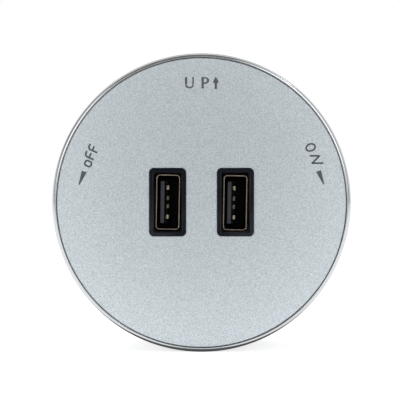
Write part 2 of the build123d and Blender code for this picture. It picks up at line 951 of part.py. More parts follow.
def base_plate():
    """The plate that stays still on the track, with two ribs that fill the track's slot."""
    bore = shaft_radius + running_gap
    plate = turned([
        (bore, 0),
        (base_radius - base_edge_chamfer, 0),
        (base_radius, base_edge_chamfer),
        (base_radius, base_thickness - base_edge_chamfer),
        (base_radius - base_edge_chamfer, base_thickness),
        (bore, base_thickness),
    ])
    rib_start = bore + rib_inner_margin
    rib_end = base_radius - rib_outer_margin
    for side in (-1, 1):
        rib = slab(rib_end - rib_start, rib_width, -rib_height, base_thickness / 2, rib_corner)
        plate += Pos(side * (rib_start + rib_end) / 2, 0, 0) * rib
    for start in shoulder_angles:
        plate -= arc_groove(shoulder_circle, shoulder_radius + running_gap, start, 0, base_thickness)
        plate -= arc_groove(shoulder_circle, counterbore_radius, start, 0, counterbore_depth)
    cover_radius = pin_pocket_radius + cover_seat_width
    for side in (-1, 1):
        at = (0, side * lock_circle)
        plate -= disc(pin_button_radius + running_gap, 0, pocket_floor, at)
        plate -= disc(pin_pocket_radius, pocket_floor, base_thickness, at)
        plate -= disc(cover_radius, cover_rear, base_thickness, at)
    return plate


def glide_washer():
    """The low-friction washer between the base and the head's floor."""
    inner = shaft_radius + washer_bore_gap
    washer = disc(inner + washer_width, base_thickness, floor_rear)
    return washer - disc(inner, base_thickness, floor_rear)


def shoulder_screws():
    """Two screws whose shoulders run in the base's arc slots."""
    head_rear = shoulder_head_sink
    head_front = head_rear + shoulder_head_height
    pieces = []
    for angle in shoulder_angles:
        at = on_circle(shoulder_circle, angle)
        shoulder_length = floor_rear - head_front
        body = screw(
            at, head_front, shoulder_head_radius, shoulder_head_height, shoulder_radius, shoulder_length, -1
        )
        body += disc(shoulder_thread_radius, floor_rear, floor_rear + shoulder_thread_length, at)
        pieces.append(body)
    return pieces


def lock_pin(side):
    """A lock pin pressed in by the track: its cap is clear above the head's floor."""
    return turned([
        (0, 0),
        (pin_button_radius - pin_button_chamfer, 0),
        (pin_button_radius, pin_button_chamfer),
        (pin_button_radius, pin_collar_rear),
        (pin_collar_radius, pin_collar_rear),
        (pin_collar_radius, pin_collar_front),
        (pin_neck_radius, pin_collar_front),
        (pin_neck_radius, pin_cap_rear),
        (pin_cap_radius, pin_cap_rear),
        (pin_cap_radius, pin_cap_rear + pin_cap_height / 2),
        (pin_neck_radius, pin_cap_rear + pin_cap_height),
        (0, pin_cap_rear + pin_cap_height),
    ], (0, side * lock_circle))


def pin_covers():
    """Two rings pressed into the base over the lock pins' springs."""
    pieces = []
    for side in (-1, 1):
        at = (0, side * lock_circle)
        ring = disc(pin_pocket_radius + cover_seat_width - seat_gap / 2, cover_rear, base_thickness, at)
        pieces.append(ring - disc(pin_neck_radius + running_gap, cover_rear, base_thickness, at))
    return pieces


def half_turn(start, start_way, end, end_way):
    """Two arcs that leave the start and reach the end along the given ways and meet smoothly."""
    span = end - start
    both_ways = start_way + end_way
    spread = 2 * (1 - start_way.dot(end_way))
    lean = span.dot(both_ways)
    reach = (sqrt(lean * lean + spread * span.dot(span)) - lean) / spread
    meeting = (start + end + (start_way - end_way) * reach) * 0.5
    first = Edge.make_tangent_arc(start, start_way, meeting)
    return [first, Edge.make_tangent_arc(meeting, first % 1, end)]


def lock_spring(side):
    """The compression spring between a pin's collar and its cover, as long as it is when pressed in."""
    margin = spring_wire / 2 + seat_gap / 2
    low = pin_collar_front + margin
    climb = (cover_rear - margin - low) / (2 * spring_turns)
    edges = []
    for step in range(2 * spring_turns):
        sign = 1 if step % 2 == 0 else -1
        start = Vector(sign * spring_radius, 0, low + step * climb)
        end = Vector(-sign * spring_radius, 0, low + (step + 1) * climb)
        start_way = Vector(0, sign * pi * spring_radius, climb).normalized()
        end_way = Vector(0, -sign * pi * spring_radius, climb).normalized()
        edges += half_turn(start, start_way, end, end_way)
    path = Wire(edges)
    section = Plane(origin=path @ 0, z_dir=path % 0) * Circle(spring_wire / 2)
    return Pos(0, side * lock_circle, 0) * sweep(section, path)


def head_nodes():
    """Every node that turns with the head."""
    nodes = {
        "face_plate": face_plate(),
        "bezel_ring": bezel_ring(),
        "port_panel": port_panel(),
        "head_housing": head_housing(),
        "panel_screws": panel_screws(),
        "board_screws": board_screws(),
        "power_board": power_board(),
        "transformer_core": transformer_core(),
        "transformer_former": transformer_former(),
        "transformer_winding": transformer_winding(),
        "bulk_capacitors": bulk_capacitors(),
        "output_capacitors": output_capacitors(),
        "bridge_rectifier": chip(bridge_at, bridge_size),
        "mains_fuse": mains_fuse(),
        "filter_choke": filter_choke(),
        "safety_capacitor": safety_capacitor(),
        "optocoupler": chip(optocoupler_at, optocoupler_size, 1, 2, optocoupler_pitch),
        "switching_controller": chip(switch_at, switch_size, -1, 4, switch_pitch),
        "charge_controllers": [chip(at, charge_size, -1, 3, charge_pitch) for at in charge_places],
        "output_diodes": [chip(at, diode_size) for at in diode_places],
        "output_inductor": chip(inductor_at, inductor_size),
        "surface_resistors": surface_resistors(),
        "key_body": key_body(),
        "key_spacer": key_spacer(),
        "key_cap": key_cap(),
        "key_screws": key_screws(),
        "key_flange_screws": key_flange_screws(),
        "line_contact": power_contact(1),
        "neutral_contact": power_contact(-1),
        "earth_contact": earth_contact(),
        "line_lead": mains_lead(1),
        "neutral_lead": mains_lead(-1),
        "shoulder_screws": shoulder_screws(),
    }
    for name in port_places:
        nodes["usb_shell_" + name] = seat_receptacle(name, usb_shell())
        nodes["usb_insulator_" + name] = seat_receptacle(name, usb_insulator())
        nodes["usb_contacts_" + name] = [
            seat_receptacle(name, usb_contact(height, crest_depth))
            for height, crest_depth in contact_places.items()
        ]
    return nodes


def base_nodes():
    """Every node of the base, which stays still, and the two lock pins that slide in it."""
    return {
        "base_plate": base_plate(),
        "glide_washer": glide_washer(),
        "pin_covers": pin_covers(),
        "lock_pin_upper": lock_pin(1),
        "lock_pin_lower": lock_pin(-1),
        "lock_spring_upper": lock_spring(1),
        "lock_spring_lower": lock_spring(-1),
    }


def solids_of(piece):
    """The solids of a piece, or of a list of pieces."""
    pieces = piece if isinstance(piece, list) else [piece]
    return [solid for one in pieces for solid in one.solids()]


os.makedirs("parts", exist_ok=True)
stand_up = Rot(90, 0, 0)
for name, piece in {**head_nodes(), **base_nodes()}.items():
    upright = [stand_up * solid for solid in solids_of(piece)]
    export_step(Compound(upright), "parts/" + name + ".step")
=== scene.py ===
from functools import reduce
from math import cos, pi, radians, sin, tan
import json

import bmesh
import bpy
from mathutils import Matrix, Vector, geometry


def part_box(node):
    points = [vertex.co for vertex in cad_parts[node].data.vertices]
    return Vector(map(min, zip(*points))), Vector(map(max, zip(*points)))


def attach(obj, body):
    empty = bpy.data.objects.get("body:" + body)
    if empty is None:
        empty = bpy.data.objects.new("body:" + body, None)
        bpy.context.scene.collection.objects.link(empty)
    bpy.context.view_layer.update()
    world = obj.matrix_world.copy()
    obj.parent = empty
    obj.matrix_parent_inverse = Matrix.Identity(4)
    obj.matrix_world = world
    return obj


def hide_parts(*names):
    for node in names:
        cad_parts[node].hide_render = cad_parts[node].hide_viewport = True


# The looks of a round socket module: a silver face in a chromed ring, with two charging ports.
# Pieces are drawn in millimetres with X to the right, Y up and Z out of the face, from the track's
# face. The last step of each piece turns them, so that Z is up and the face looks along -Y.

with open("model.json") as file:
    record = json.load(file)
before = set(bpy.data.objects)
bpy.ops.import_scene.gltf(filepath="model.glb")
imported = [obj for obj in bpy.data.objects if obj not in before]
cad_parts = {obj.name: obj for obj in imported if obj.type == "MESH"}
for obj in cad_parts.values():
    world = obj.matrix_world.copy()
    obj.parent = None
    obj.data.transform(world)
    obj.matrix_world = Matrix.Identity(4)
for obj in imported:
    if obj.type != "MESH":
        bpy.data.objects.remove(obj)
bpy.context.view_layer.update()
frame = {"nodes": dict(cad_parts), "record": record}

MM = 0.001
STAND_UP = Matrix.Rotation(radians(90), 4, "X") @ Matrix.Scale(MM, 4)
SLOTS = {part["node"]: part["material_slot"] for part in frame["record"]["subparts"]}


# Sizes read from the frame

def ends(node, axis):
    """Where a CAD node starts and ends on a drawn axis."""
    low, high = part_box(node)
    return {
        "across": (low.x / MM, high.x / MM),
        "up": (low.z / MM, high.z / MM),
        "out": (-high.y / MM, -low.y / MM),
    }[axis]


ring_radius = ends("bezel_ring", "across")[1]
ring_rear, ring_front = ends("bezel_ring", "out")
face_radius = ends("face_plate", "across")[1]
face_rear, face_front = ends("face_plate", "out")
panel_radius = ends("port_panel", "across")[1]
post_rear, frame_front = ends("port_panel", "out")
housing_radius = ends("head_housing", "across")[1]
shell_front = ends("usb_shell_left", "out")[1]
board_front, tongue_front = ends("usb_insulator_left", "out")
board_rear = ends("power_board", "out")[0]
base_radius = ends("base_plate", "across")[1]
rib_rear, base_front = ends("base_plate", "out")
pin_top = ends("lock_pin_upper", "up")[1]
key_length = ends("key_cap", "up")[1] * 2
key_rear, spacer_rear = ends("key_cap", "out")
neck_rear = ends("key_spacer", "out")[1]

# The other sizes, in millimetres. Most are the construction's own, and a few depart for the looks.

# Ring and face
ring_width = 0.93
ring_outer_round = 0.58
ring_inner_round = 0.08
ring_rear_round = 0.12
ring_flange_depth = 2.3
ring_flange_width = 1.9
ring_flange_thickness = 0.8
ring_seat_gap = 0.1
face_shrink = 0.12
face_edge_round = 0.10
cutout_gap = 0.08

# Port panel
panel_rear = face_rear - 2.0
panel_rim_rear = face_rear - 0.8
panel_body_radius = panel_radius - 1.4
post_circle = 29.4
post_radius = 2.4
post_bore = 1.25
post_round = 0.2
post_angles = (45, 135, 225, 315)
port_places = {"left": -7.95, "right": 7.95}
port_rise = 0.1
frame_width = 8.5
frame_height = 15.86
frame_corner = 1.0
frame_land = 0.88
frame_edge_round = 0.07
frame_slant = 0.015
slant_width = 0.17
slant_round = 0.05
funnel_depth = 1.7
guide_wall = 1.0
guide_rear = panel_rear - 2.6

# Receptacles
receptacle_drops = {"left": 0.0, "right": 0.15}
receptacle_tilt = -1.0
shell_width = 5.7
shell_height = 13.1
shell_corner = 0.9
shell_sheet = 0.3
shell_edge = 0.11
shell_gap = 0.35
shell_leg_width = 1.8
shell_leg_reach = 1.0
shell_leg_edge = 0.05
finger_width = 1.9
finger_length = 5.4
finger_root = 3.1
finger_bend = 0.4
finger_place = 3.35
finger_sheet = 0.25
finger_slit = 0.3
finger_start_share = 0.1
finger_dent_share = 0.7
finger_round = 1.2
tongue_left = -1.93
tongue_thickness = 1.84
tongue_right = tongue_left + tongue_thickness
tongue_height = 10.2
tongue_front_thickness = 1.06
tongue_inset = 0.12
tongue_step = 1.2
tongue_chamfer = 0.1
tongue_corner = 0.06
tongue_round = 0.05
tongue_step_round = 0.03
tongue_overlap = 0.2
block_height = 4.0
block_margin = 0.35
block_corner = 0.6
block_rounds = (0.05, 0.15)
contact_places = {3.5: 2.2, 1.0: 3.3, -1.0: 3.3, -3.5: 2.2}
contact_lie = tongue_right - 0.5
contact_crest = tongue_right + 0.22
contact_width = 1.0
contact_sheet = 0.2
contact_round = 0.6
contact_slot_width = 1.3
contact_slot_depth = 0.7
contact_rise = 3.0
contact_front = 0.55
contact_tail_reach = 0.7
contact_tail_share = 0.6
contact_tail_slot = (0.5, 1.2, 0.05)
# How far up a contact's crest it turns bright: partly rubbed plating, partly painted highlight
rubbed_and_lit_from = 0.45
rubbed_and_lit_over = 0.2

# Screws
head_round_share = 0.35
head_flat_share = 0.3
cross_reach_share = 0.55
cross_width_share = 0.11
cross_taper_share = 0.03
cross_floor_share = 0.5
pitch_share = 0.5
thread_depth_share = 0.3
screw_play = 0.02
shoulder_round = 0.15

# Base and glide washer
base_bore = 10.3
base_bore_round = 0.3
base_edge_chamfer = 0.6
base_edge_round = 0.2
shoulder_circle = 17.0
shoulder_slot_half = 2.3
counterbore_half = 3.15
counterbore_depth = 2.4
counterbore_chamfer = 0.25
counterbore_round = 0.15
slot_sweep = 90
slot_starts = (45, 225)
rib_length = 13.7
rib_width = 9.2
rib_corner = 1.5
rib_place = 20.15
rib_foot = 0.4
rib_foot_round = 0.35
rib_chamfer = 0.6
rib_round = 0.4
washer_thickness = 0.4
washer_bore = 10.6
washer_radius = 14.0
washer_round = 0.08
floor_rear = base_front + washer_thickness
floor_front = floor_rear + 2.0

# Lock pins, their springs and their covers
collar_radius = 2.5
collar_rear = 3.04
collar_front = 3.5
lock_circle = pin_top - collar_radius
button_radius = 2.1
button_round = 0.45
button_flat = 1.6
pin_neck_radius = 1.2
pin_edge_round = 0.08
pin_foot_round = 0.10
pin_cap_foot_round = 0.05
pin_cap_radius = 2.2
pin_cap_rear = floor_front + 0.2
pin_cap_height = 1.4
pin_bevel_round = 0.10
button_bore = 2.4
button_bore_chamfer = 0.2
pocket_radius = 2.8
pocket_floor = 1.0
cover_rear = base_front - 0.8
cover_seat_radius = 3.8
cover_radius = 3.75
cover_bore = 1.5
cover_round = 0.08
cover_bore_round = 0.06
spring_radius = 1.85
spring_wire = 0.35
spring_turns = 3.0
spring_rear = 3.725
spring_rise = 1.25

# Track key and its contacts
key_width = 9.4
key_corner = 2.2
neck_radius = 4.7
shaft_radius = 10.0
shaft_rear = 0.3
neck_foot_round = 0.10
shaft_round = 0.30
key_flange_radius = 13.4
key_flange_front = 10.6
key_flange_round = 0.20
key_flange_foot_round = 0.05
flange_screw_circle = 11.8
flange_screw_angles = (60, 180, 300)
key_screw_place = 2.6
key_screw_bore = 1.0
key_screw_thread = 0.95
key_screw_grip = 5.0
spacer_rounds = (0.12, 0.02)
lead_place = 2.4
lead_bore = 0.9
lead_bore_round = 0.15
hole_chamfer = 0.1
strip_gap = 0.6
strip_width = 4.0
strip_sheet = 0.5
strip_bend = 0.5
strip_edge = 0.08
strip_lie = 0.35
strip_stand_off = 0.5
strip_bulge = 1.6
strip_drop = 3.4
strip_start = 1.4
earth_drop = 3.0
earth_start = 4.98
earth_plate_width = 8.4
earth_plate_length = 10.0
earth_plate_corner = 0.5
earth_plate_edge = 0.05
earth_lead_hole = 1.0
earth_screw_hole = 1.1

# Camera
camera_distance = 270.0
camera_across = -0.36
camera_up = 0.60
view_width = 93.64
sensor_width = 36.0

# What the studio shows to mirrors

# A side is its angle round the face, from the right, and the half width that it spreads over, in
# degrees. A span is where a glow starts to change and where it ends: by how far a direction leans
# from the face's axis, for the ones named back by how far it points backwards, for the lift by how
# far it points up, and on the floor in metres.
side_softness = 18.0
front_glow = 0.15
right_side = (14.0, 48.0)
right_glow = 0.55
left_side = (207.0, 42.0)
left_glow = 0.65
side_low = 0.25
side_span = (0.50, 0.95)
top_side = (95.0, 50.0)
top_glow = 0.95
top_span = (0.82, 0.92)
top_back_span = (-0.15, 0.15)
behind_span = (0.45, 0.85)
halo_inner_span = (0.07, 0.11)
halo_outer_span = (0.24, 0.36)
halo_back_span = (-0.2, 0.0)
halo_lift_low = 0.25
halo_lift_span = (0.02, 0.32)
halo_glow = 1.7
halo_shade = (100.0, 30.0)
halo_shade_softness = 6.0
halo_shade_glow = 0.22
floor_glow = 0.75
floor_beside_span = (0.018, 0.042)
ahead_from = 5.0
ahead_glow = 0.8
ahead_rise = 0.004
ahead_end_span = (-0.11, -0.16)

# Floor: half its width in metres, its own white as the camera sees it, its darkest and palest
# colour under the lamps, and its colour to what mirrors it
floor_reach = 3.0
floor_seen = 0.74
floor_paleness = (0.58, 0.62)
floor_mirrored = 0.16

# Face paint's painted light and shade: how bright it is painted in the middle, and how much brighter it
# gets with each square metre outwards and each metre upwards
painted_light_middle = 0.775
painted_light_dish = 150.0
painted_light_slope = -4.8

# Lights: the room, and lamps with their place, size and power in metres and watts
room_light = 0.52
LAMPS = {
    "left_softbox": ((-0.42, -0.42, 0.05), (0.30, 0.45), 1.15),
    "right_softbox": ((0.42, -0.42, 0.12), (0.30, 0.45), 0.80),
    "front_softbox": ((-0.04, -0.80, 0.10), (0.16, 0.16), 2.0),
    "corner_lamp": ((0.25, -0.45, 0.35), (0.06, 0.06), 0.05),
    "back_softbox": ((-0.1, 0.5, 0.35), (0.40, 0.30), 2.2),
}
MIRRORED_LAMP = "corner_lamp"


# Outlines: each is a function from an amount that it grows by to its points

def arc(centre, radius, start, end, steps, up=None):
    """Points along an arc between two angles in degrees, of an ellipse where up is its other radius."""
    points = []
    for step in range(steps + 1):
        angle = radians(start + (end - start) * step / steps)
        height = (radius if up is None else up) * sin(angle)
        points.append((centre[0] + radius * cos(angle), centre[1] + height))
    return points


def on_circle(radius, angle):
    """The point at an angle in degrees on a circle about the axis."""
    return radius * cos(radians(angle)), radius * sin(radians(angle))


def round_outline(radius, steps, at=(0, 0)):
    """A circle. From a radius of 0 it grows by true radii, for a section that is turned."""
    return lambda more=0.0: arc(at, radius + more, 0, 360, steps)[:-1]


def box_outline(width, height, corner, at=(0, 0), steps=8, room=0.0):
    """A rectangle with rounded corners, which may have room added all round."""
    def grown(more=0.0):
        points = []
        for start, across, along in ((0, 1, 1), (90, -1, 1), (180, -1, -1), (270, 1, -1)):
            centre = (
                at[0] + across * ((width + 2 * room) / 2 - corner),
                at[1] + along * ((height + 2 * room) / 2 - corner),
            )
            points += arc(centre, max(corner + more, 0.01), start, start + 90, steps)
        return points
    return grown


def slot_outline(circle, half_width, start, end, steps=48, cap_steps=16):
    """A round-ended slot along an arc about the axis."""
    def grown(more=0.0):
        reach = half_width + more
        points = arc((0, 0), circle + reach, start, end, steps)
        points += arc(on_circle(circle, end), reach, end, end + 180, cap_steps)[1:-1]
        points += arc((0, 0), circle - reach, end, start, steps)
        return points + arc(on_circle(circle, start), reach, start + 180, start + 360, cap_steps)[1:-1]
    return grown


def comb_outline(left, right, height, depth, width, places):
    """A bar with a slot in its right side at each place."""
    def grown(more=0.0):
        low, high, side = -height / 2 - more, height / 2 + more, right + more
        points = [(left - more, high), (left - more, low), (side, low)]
        for place in sorted(places):
            near, far = place - width / 2 + more, place + width / 2 - more
            points += [(side, near), (side - depth, near), (side - depth, far), (side, far)]
        return [*points, (side, high)]
    return grown


def cross_outline(reach, half):
    """A cross, for a screw's recess."""
    def grown(more=0.0):
        far, near = reach + more, half + more
        return [
            (x * right - y * up, x * up + y * right)
            for right, up in ((1, 0), (0, 1), (-1, 0), (0, -1))
            for x, y in ((far, -near), (far, near), (near, near))
        ]
    return grown


# Sections: lists of growth and level that an outline follows

def eased(corners, closed=False, steps=6):
    """A section through corners of growth, level and the radius that rounds each."""
    points = []
    for number, (across, level, ease) in enumerate(corners):
        here = Vector((across, level))
        if ease == 0 or (not closed and number in (0, len(corners) - 1)):
            points.append((across, level))
            continue
        before = (Vector(corners[number - 1][:2]) - here).normalized()
        after = (Vector(corners[(number + 1) % len(corners)][:2]) - here).normalized()
        half = before.angle(after) / 2
        centre = here + (before + after).normalized() * ease / sin(half)
        first = here + before * ease / tan(half) - centre
        last = here + after * ease / tan(half) - centre
        for step in range(steps + 1):
            points.append(tuple(centre + first.slerp(last, step / steps) * first.length))
    return points


def wall_section(rear, front, rear_ease=0.0, front_ease=0.0, side=1):
    """A straight wall with rounded edges, of a solid at 1 or of a hole in it at -1."""
    corners = [(0, rear, rear_ease), (0, front, front_ease)]
    if rear_ease:
        corners.insert(0, (-side * rear_ease, rear, 0))
    if front_ease:
        corners.append((-side * front_ease, front, 0))
    return eased(corners)


# Meshes from outlines and sections

def rows_along(shape, outline, section, closed=False):
    """A wall along a section, whose stations may name their own outline. Returns its first and last rows."""
    rows = []
    for more, level, *own in section:
        points = (own[0] if own else outline)(more)
        rows.append([shape.verts.new((x, y, level)) for x, y in points])
    for low, high in list(zip(rows, rows[1:])) + ([(rows[-1], rows[0])] if closed else []):
        for here in range(len(low)):
            after = (here + 1) % len(low)
            shape.faces.new((low[here], low[after], high[after], high[here]))
    return rows[0], rows[-1]


def cap(shape, rows):
    """A flat face whose outline is the first row and whose holes are the others."""
    corners = [corner for row in rows for corner in row]
    for triangle in geometry.tessellate_polygon([[corner.co for corner in row] for row in rows]):
        shape.faces.new([corners[number] for number in triangle])


def plate(shape, outline, section, holes=(), rear_pockets=(), front_pockets=()):
    """A closed plate. Holes go right through, and pockets end at their section's last level."""
    rear, front = rows_along(shape, outline, section)
    rear_rows, front_rows = [rear], [front]
    for hole, hole_section in holes:
        low, high = rows_along(shape, hole, hole_section)
        rear_rows.append(low)
        front_rows.append(high)
    for pockets, face_rows in ((rear_pockets, rear_rows), (front_pockets, front_rows)):
        for pocket, pocket_section in pockets:
            mouth, floor = rows_along(shape, pocket, pocket_section)
            face_rows.append(mouth)
            cap(shape, [floor])
    cap(shape, rear_rows)
    cap(shape, front_rows)


def applied(piece):
    """The plain mesh that a piece has with its modifiers."""
    return bpy.data.meshes.new_from_object(piece.evaluated_get(bpy.context.evaluated_depsgraph_get()))


def on_stage(name, data):
    """A new object of some data, in the scene."""
    made = bpy.data.objects.new(name, data)
    bpy.context.scene.collection.objects.link(made)
    return made


def mesh_of(name, shape):
    """The mesh of a drawn shape, whose faces are turned outwards. The shape is freed."""
    bmesh.ops.recalc_face_normals(shape, faces=shape.faces)
    data = bpy.data.meshes.new(name)
    shape.to_mesh(data)
    shape.free()
    return data


def finished(name, shape, finish, body, replaces=(), place=None, crease=40):
    """A piece from a drawn shape: stood up in the frame, smooth, with its finish and its body."""
    data = mesh_of(name, shape)
    data.materials.append(FINISHES[finish])
    data.transform(STAND_UP @ (place or Matrix.Identity(4)))
    data.shade_smooth()
    data.set_sharp_from_angle(angle=radians(crease))
    piece = on_stage(name, data)
    weighted = piece.modifiers.new("even_shading", "WEIGHTED_NORMAL")
    weighted.keep_sharp = True
    piece.data = applied(piece)
    piece.modifiers.clear()
    piece.data.name = name
    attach(piece, body)
    if replaces:
        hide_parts(*replaces)


def stands_for(node, shape, body="head", place=None, crease=40):
    """The finished piece that a CAD node is shown as, with the finish of the node's slot."""
    finished(node + "_fine", shape, SLOTS[node], body, (node,), place, crease)


# Node trees

def fill_in(target, value):
    """Set a socket to a value, or link it."""
    if isinstance(value, bpy.types.NodeSocket):
        target.id_data.links.new(value, target)
    else:
        target.default_value = value


def add(tree, kind, inputs=None, **settings):
    """A new node with its settings made and its inputs filled in, by name or by number."""
    node = tree.nodes.new(kind)
    for setting, value in settings.items():
        setattr(node, setting, value)
    for key, value in (inputs or {}).items():
        fill_in(node.inputs[key], value)
    return node


def result(kind, inputs, output=0, **settings):
    """An output of a new node, in the tree that the sockets among its inputs are in."""
    tree = next(value.id_data for value in inputs.values() if isinstance(value, bpy.types.NodeSocket))
    return add(tree, kind, inputs, **settings).outputs[output]


def worked(operation, first, second=0.0):
    """The result of one sum in a tree."""
    return result("ShaderNodeMath", {0: first, 1: second}, operation=operation)


def times(*values):
    """The product of values."""
    return reduce(lambda first, second: worked("MULTIPLY", first, second), values)


def plus(*values):
    """The sum of values."""
    return reduce(lambda first, second: worked("ADD", first, second), values)


def between(factor, low, high, start=0.3, end=0.7):
    """A number that goes from low to high as a factor goes from start to end."""
    return result("ShaderNodeMapRange", {
        "Value": factor, "From Min": start, "From Max": end, "To Min": low, "To Max": high,
    })


# Geometry trees

SOCKETS = {
    int: "NodeSocketInt",
    float: "NodeSocketFloat",
    tuple: "NodeSocketVector",
    type(None): "NodeSocketObject",
}


def shape_tree(name, sizes):
    """A geometry tree with named inputs for its sizes. Returns the tree and what it is given."""
    tree = bpy.data.node_groups.new(name, "GeometryNodeTree")
    tree.interface.new_socket("Geometry", in_out="OUTPUT", socket_type="NodeSocketGeometry")
    tree.interface.new_socket("Drawn", in_out="INPUT", socket_type="NodeSocketGeometry")
    tree.interface.new_socket("Finish", in_out="INPUT", socket_type="NodeSocketMaterial")
    for label, value in sizes.items():
        socket = tree.interface.new_socket(label, in_out="INPUT", socket_type=SOCKETS[type(value)])
        if value is not None:
            socket.default_value = value
    return tree, tree.nodes.new("NodeGroupInput").outputs


def close_tree(tree, given, shape):
    """End a tree: instances made real and the finish set."""
    real = result("GeometryNodeRealizeInstances", {"Geometry": shape})
    painted = result("GeometryNodeSetMaterial", {"Geometry": real, "Material": given["Finish"]})
    add(tree, "NodeGroupOutput", {"Geometry": painted})
    return tree


def ring_tree():
    """A section of radius and level, swept round the axis."""
    tree, given = shape_tree("section_round_axis", {"Circle": 30.0, "Steps": 256})
    section = result("GeometryNodeMeshToCurve", {"Mesh": given["Drawn"]})
    circle = result("GeometryNodeCurvePrimitiveCircle", {
        "Radius": given["Circle"], "Resolution": given["Steps"],
    })
    upright = result("GeometryNodeSetCurveNormal", {"Curve": circle}, mode="Z_UP")
    swept = result("GeometryNodeCurveToMesh", {"Curve": upright, "Profile Curve": section})
    return close_tree(tree, given, swept)


def filleted(curve, radius, count):
    """A curve with its corners rounded."""
    return result("GeometryNodeFilletCurve", {
        "Curve": curve, "Count": count, "Radius": radius, "Limit Radius": True,
    }, mode="POLY")


def strip_tree():
    """Bent strips of sheet metal along drawn lines, as wide as given along one axis."""
    tree, given = shape_tree("bent_strips", {
        "Width": 1.0, "Sheet": 0.2, "Bend": 0.5, "Edge": 0.04, "Across": (0.0, 1.0, 0.0),
    })
    lines = result("GeometryNodeMeshToCurve", {"Mesh": given["Drawn"]})
    bent = filleted(lines, given["Bend"], 6)
    level = result("GeometryNodeSetCurveNormal", {"Curve": bent, "Normal": given["Across"]}, mode="FREE")
    blank = result("GeometryNodeCurvePrimitiveQuadrilateral", {
        "Width": given["Width"], "Height": given["Sheet"],
    })
    swept = result("GeometryNodeCurveToMesh", {
        "Curve": level, "Profile Curve": filleted(blank, given["Edge"], 2), "Fill Caps": True,
    })
    return close_tree(tree, given, swept)


def stroke_tree():
    """Printed strokes: thin round-ended ribbons along drawn lines, as wide as their points say."""
    tree, given = shape_tree("printed_strokes", {"Ink": 0.06, "Step": 0.05})
    lines = result("GeometryNodeMeshToCurve", {"Mesh": given["Drawn"]})
    fine = result("GeometryNodeResampleCurve", {"Curve": lines, "Length": given["Step"]}, mode="LENGTH")
    width = add(tree, "GeometryNodeInputNamedAttribute", {"Name": "width"}, data_type="FLOAT").outputs[0]
    along = add(tree, "GeometryNodeSplineParameter").outputs["Length"]
    whole = add(tree, "GeometryNodeSplineLength").outputs["Length"]
    closed = add(tree, "GeometryNodeInputSplineCyclic").outputs[0]
    from_end = worked("MINIMUM", along, worked("SUBTRACT", whole, along))
    share = worked("DIVIDE", from_end, times(width, 0.5))
    share = worked("MINIMUM", plus(share, closed), 1.0)
    short = worked("POWER", worked("SUBTRACT", 1.0, share), 2.0)
    rounded = worked("SQRT", worked("SUBTRACT", 1.0, short))
    eased_width = worked("MAXIMUM", times(width, rounded), 0.02)
    level = result("GeometryNodeSetCurveNormal", {"Curve": fine}, mode="Z_UP")
    ribbon = result("GeometryNodeCurvePrimitiveQuadrilateral", {"Height": given["Ink"], "Width": 1.0})
    swept = result("GeometryNodeCurveToMesh", {
        "Curve": level, "Profile Curve": ribbon, "Scale": eased_width, "Fill Caps": True,
    })
    return close_tree(tree, given, swept)


def circle_tree():
    """One piece repeated round the axis, each copy turned on itself by chance."""
    tree, given = shape_tree("repeated_round_axis", {
        "Piece": None, "Count": 4, "Circle": 10.0, "First angle": 0.0, "Seed": 1, "Loose turn": 3.14,
    })
    line = result("GeometryNodeMeshLine", {"Count": given["Count"], "Offset": (0, 0, 0)})
    number = add(tree, "GeometryNodeInputIndex").outputs[0]
    step = worked("DIVIDE", 2 * pi, given["Count"])
    angle = plus(times(number, step), given["First angle"])
    place = result("ShaderNodeCombineXYZ", {
        "X": times(worked("COSINE", angle), given["Circle"]),
        "Y": times(worked("SINE", angle), given["Circle"]),
    })
    spots = result("GeometryNodeSetPosition", {"Geometry": line, "Position": place})
    piece = result("GeometryNodeObjectInfo", {"Object": given["Piece"]}, "Geometry")
    chance = result("FunctionNodeRandomValue", {
        "Max": given["Loose turn"], "ID": number, "Seed": given["Seed"],
    }, "Value", data_type="FLOAT")
    turn = result("ShaderNodeCombineXYZ", {"Z": chance})
    copies = result("GeometryNodeInstanceOnPoints", {"Points": spots, "Instance": piece, "Rotation": turn})
    return close_tree(tree, given, copies)


def coil_tree():
    """A wound wire: a helix of a number of turns about the axis, with a round section."""
    tree, given = shape_tree("wound_wire", {
        "Radius": 2.0, "Rise": 3.0, "Turns": 3.0, "Wire": 0.3, "Steps": 40, "Sides": 10,
    })
    helix = result("GeometryNodeCurveSpiral", {
        "Resolution": given["Steps"], "Rotations": given["Turns"],
        "Start Radius": given["Radius"], "End Radius": given["Radius"], "Height": given["Rise"],
    })
    wire = result("GeometryNodeCurvePrimitiveCircle", {
        "Radius": times(given["Wire"], 0.5), "Resolution": given["Sides"],
    })
    swept = result("GeometryNodeCurveToMesh", {"Curve": helix, "Profile Curve": wire, "Fill Caps": True})
    return close_tree(tree, given, swept)


section_ring = ring_tree()
strips = strip_tree()
strokes = stroke_tree()
round_axis = circle_tree()
wound_wire = coil_tree()


def grow(shape, tree, finish, sizes, paths, closed=(), widths=()):
    """Add to a shape what a tree makes of drawn paths. Those whose numbers are listed are closed."""
    points, edges = [], []
    for number, path in enumerate(paths):
        first = len(points)
        points += path
        edges += [(here, here + 1) for here in range(first, len(points) - 1)]
        if number in closed:
            edges.append((len(points) - 1, first))
    drawn = bpy.data.meshes.new("drawn")
    drawn.from_pydata(points, edges, [])
    if widths:
        drawn.attributes.new("width", "FLOAT", "POINT").data.foreach_set("value", widths)
    source = on_stage("drawn", drawn)
    modifier = source.modifiers.new(tree.name, "NODES")
    modifier.node_group = tree
    values = {**sizes, "Finish": FINISHES[finish]}
    for item in tree.interface.items_tree:
        if item.in_out == "INPUT" and item.name in values:
            modifier[item.identifier] = values[item.name]
    made = applied(source)
    source.modifiers.remove(modifier)
    bpy.data.objects.remove(source)
    shape.from_mesh(made)


# Materials

# What is common to every plastic or every metal, as shares of its colour and roughness. The reach
# of a rubbed edge is in millimetres.
mottle = 0.12
rubbed_light = 1.25
rubbed_reach = 0.15
uneven_gloss = 0.08
tarnish = 0.15


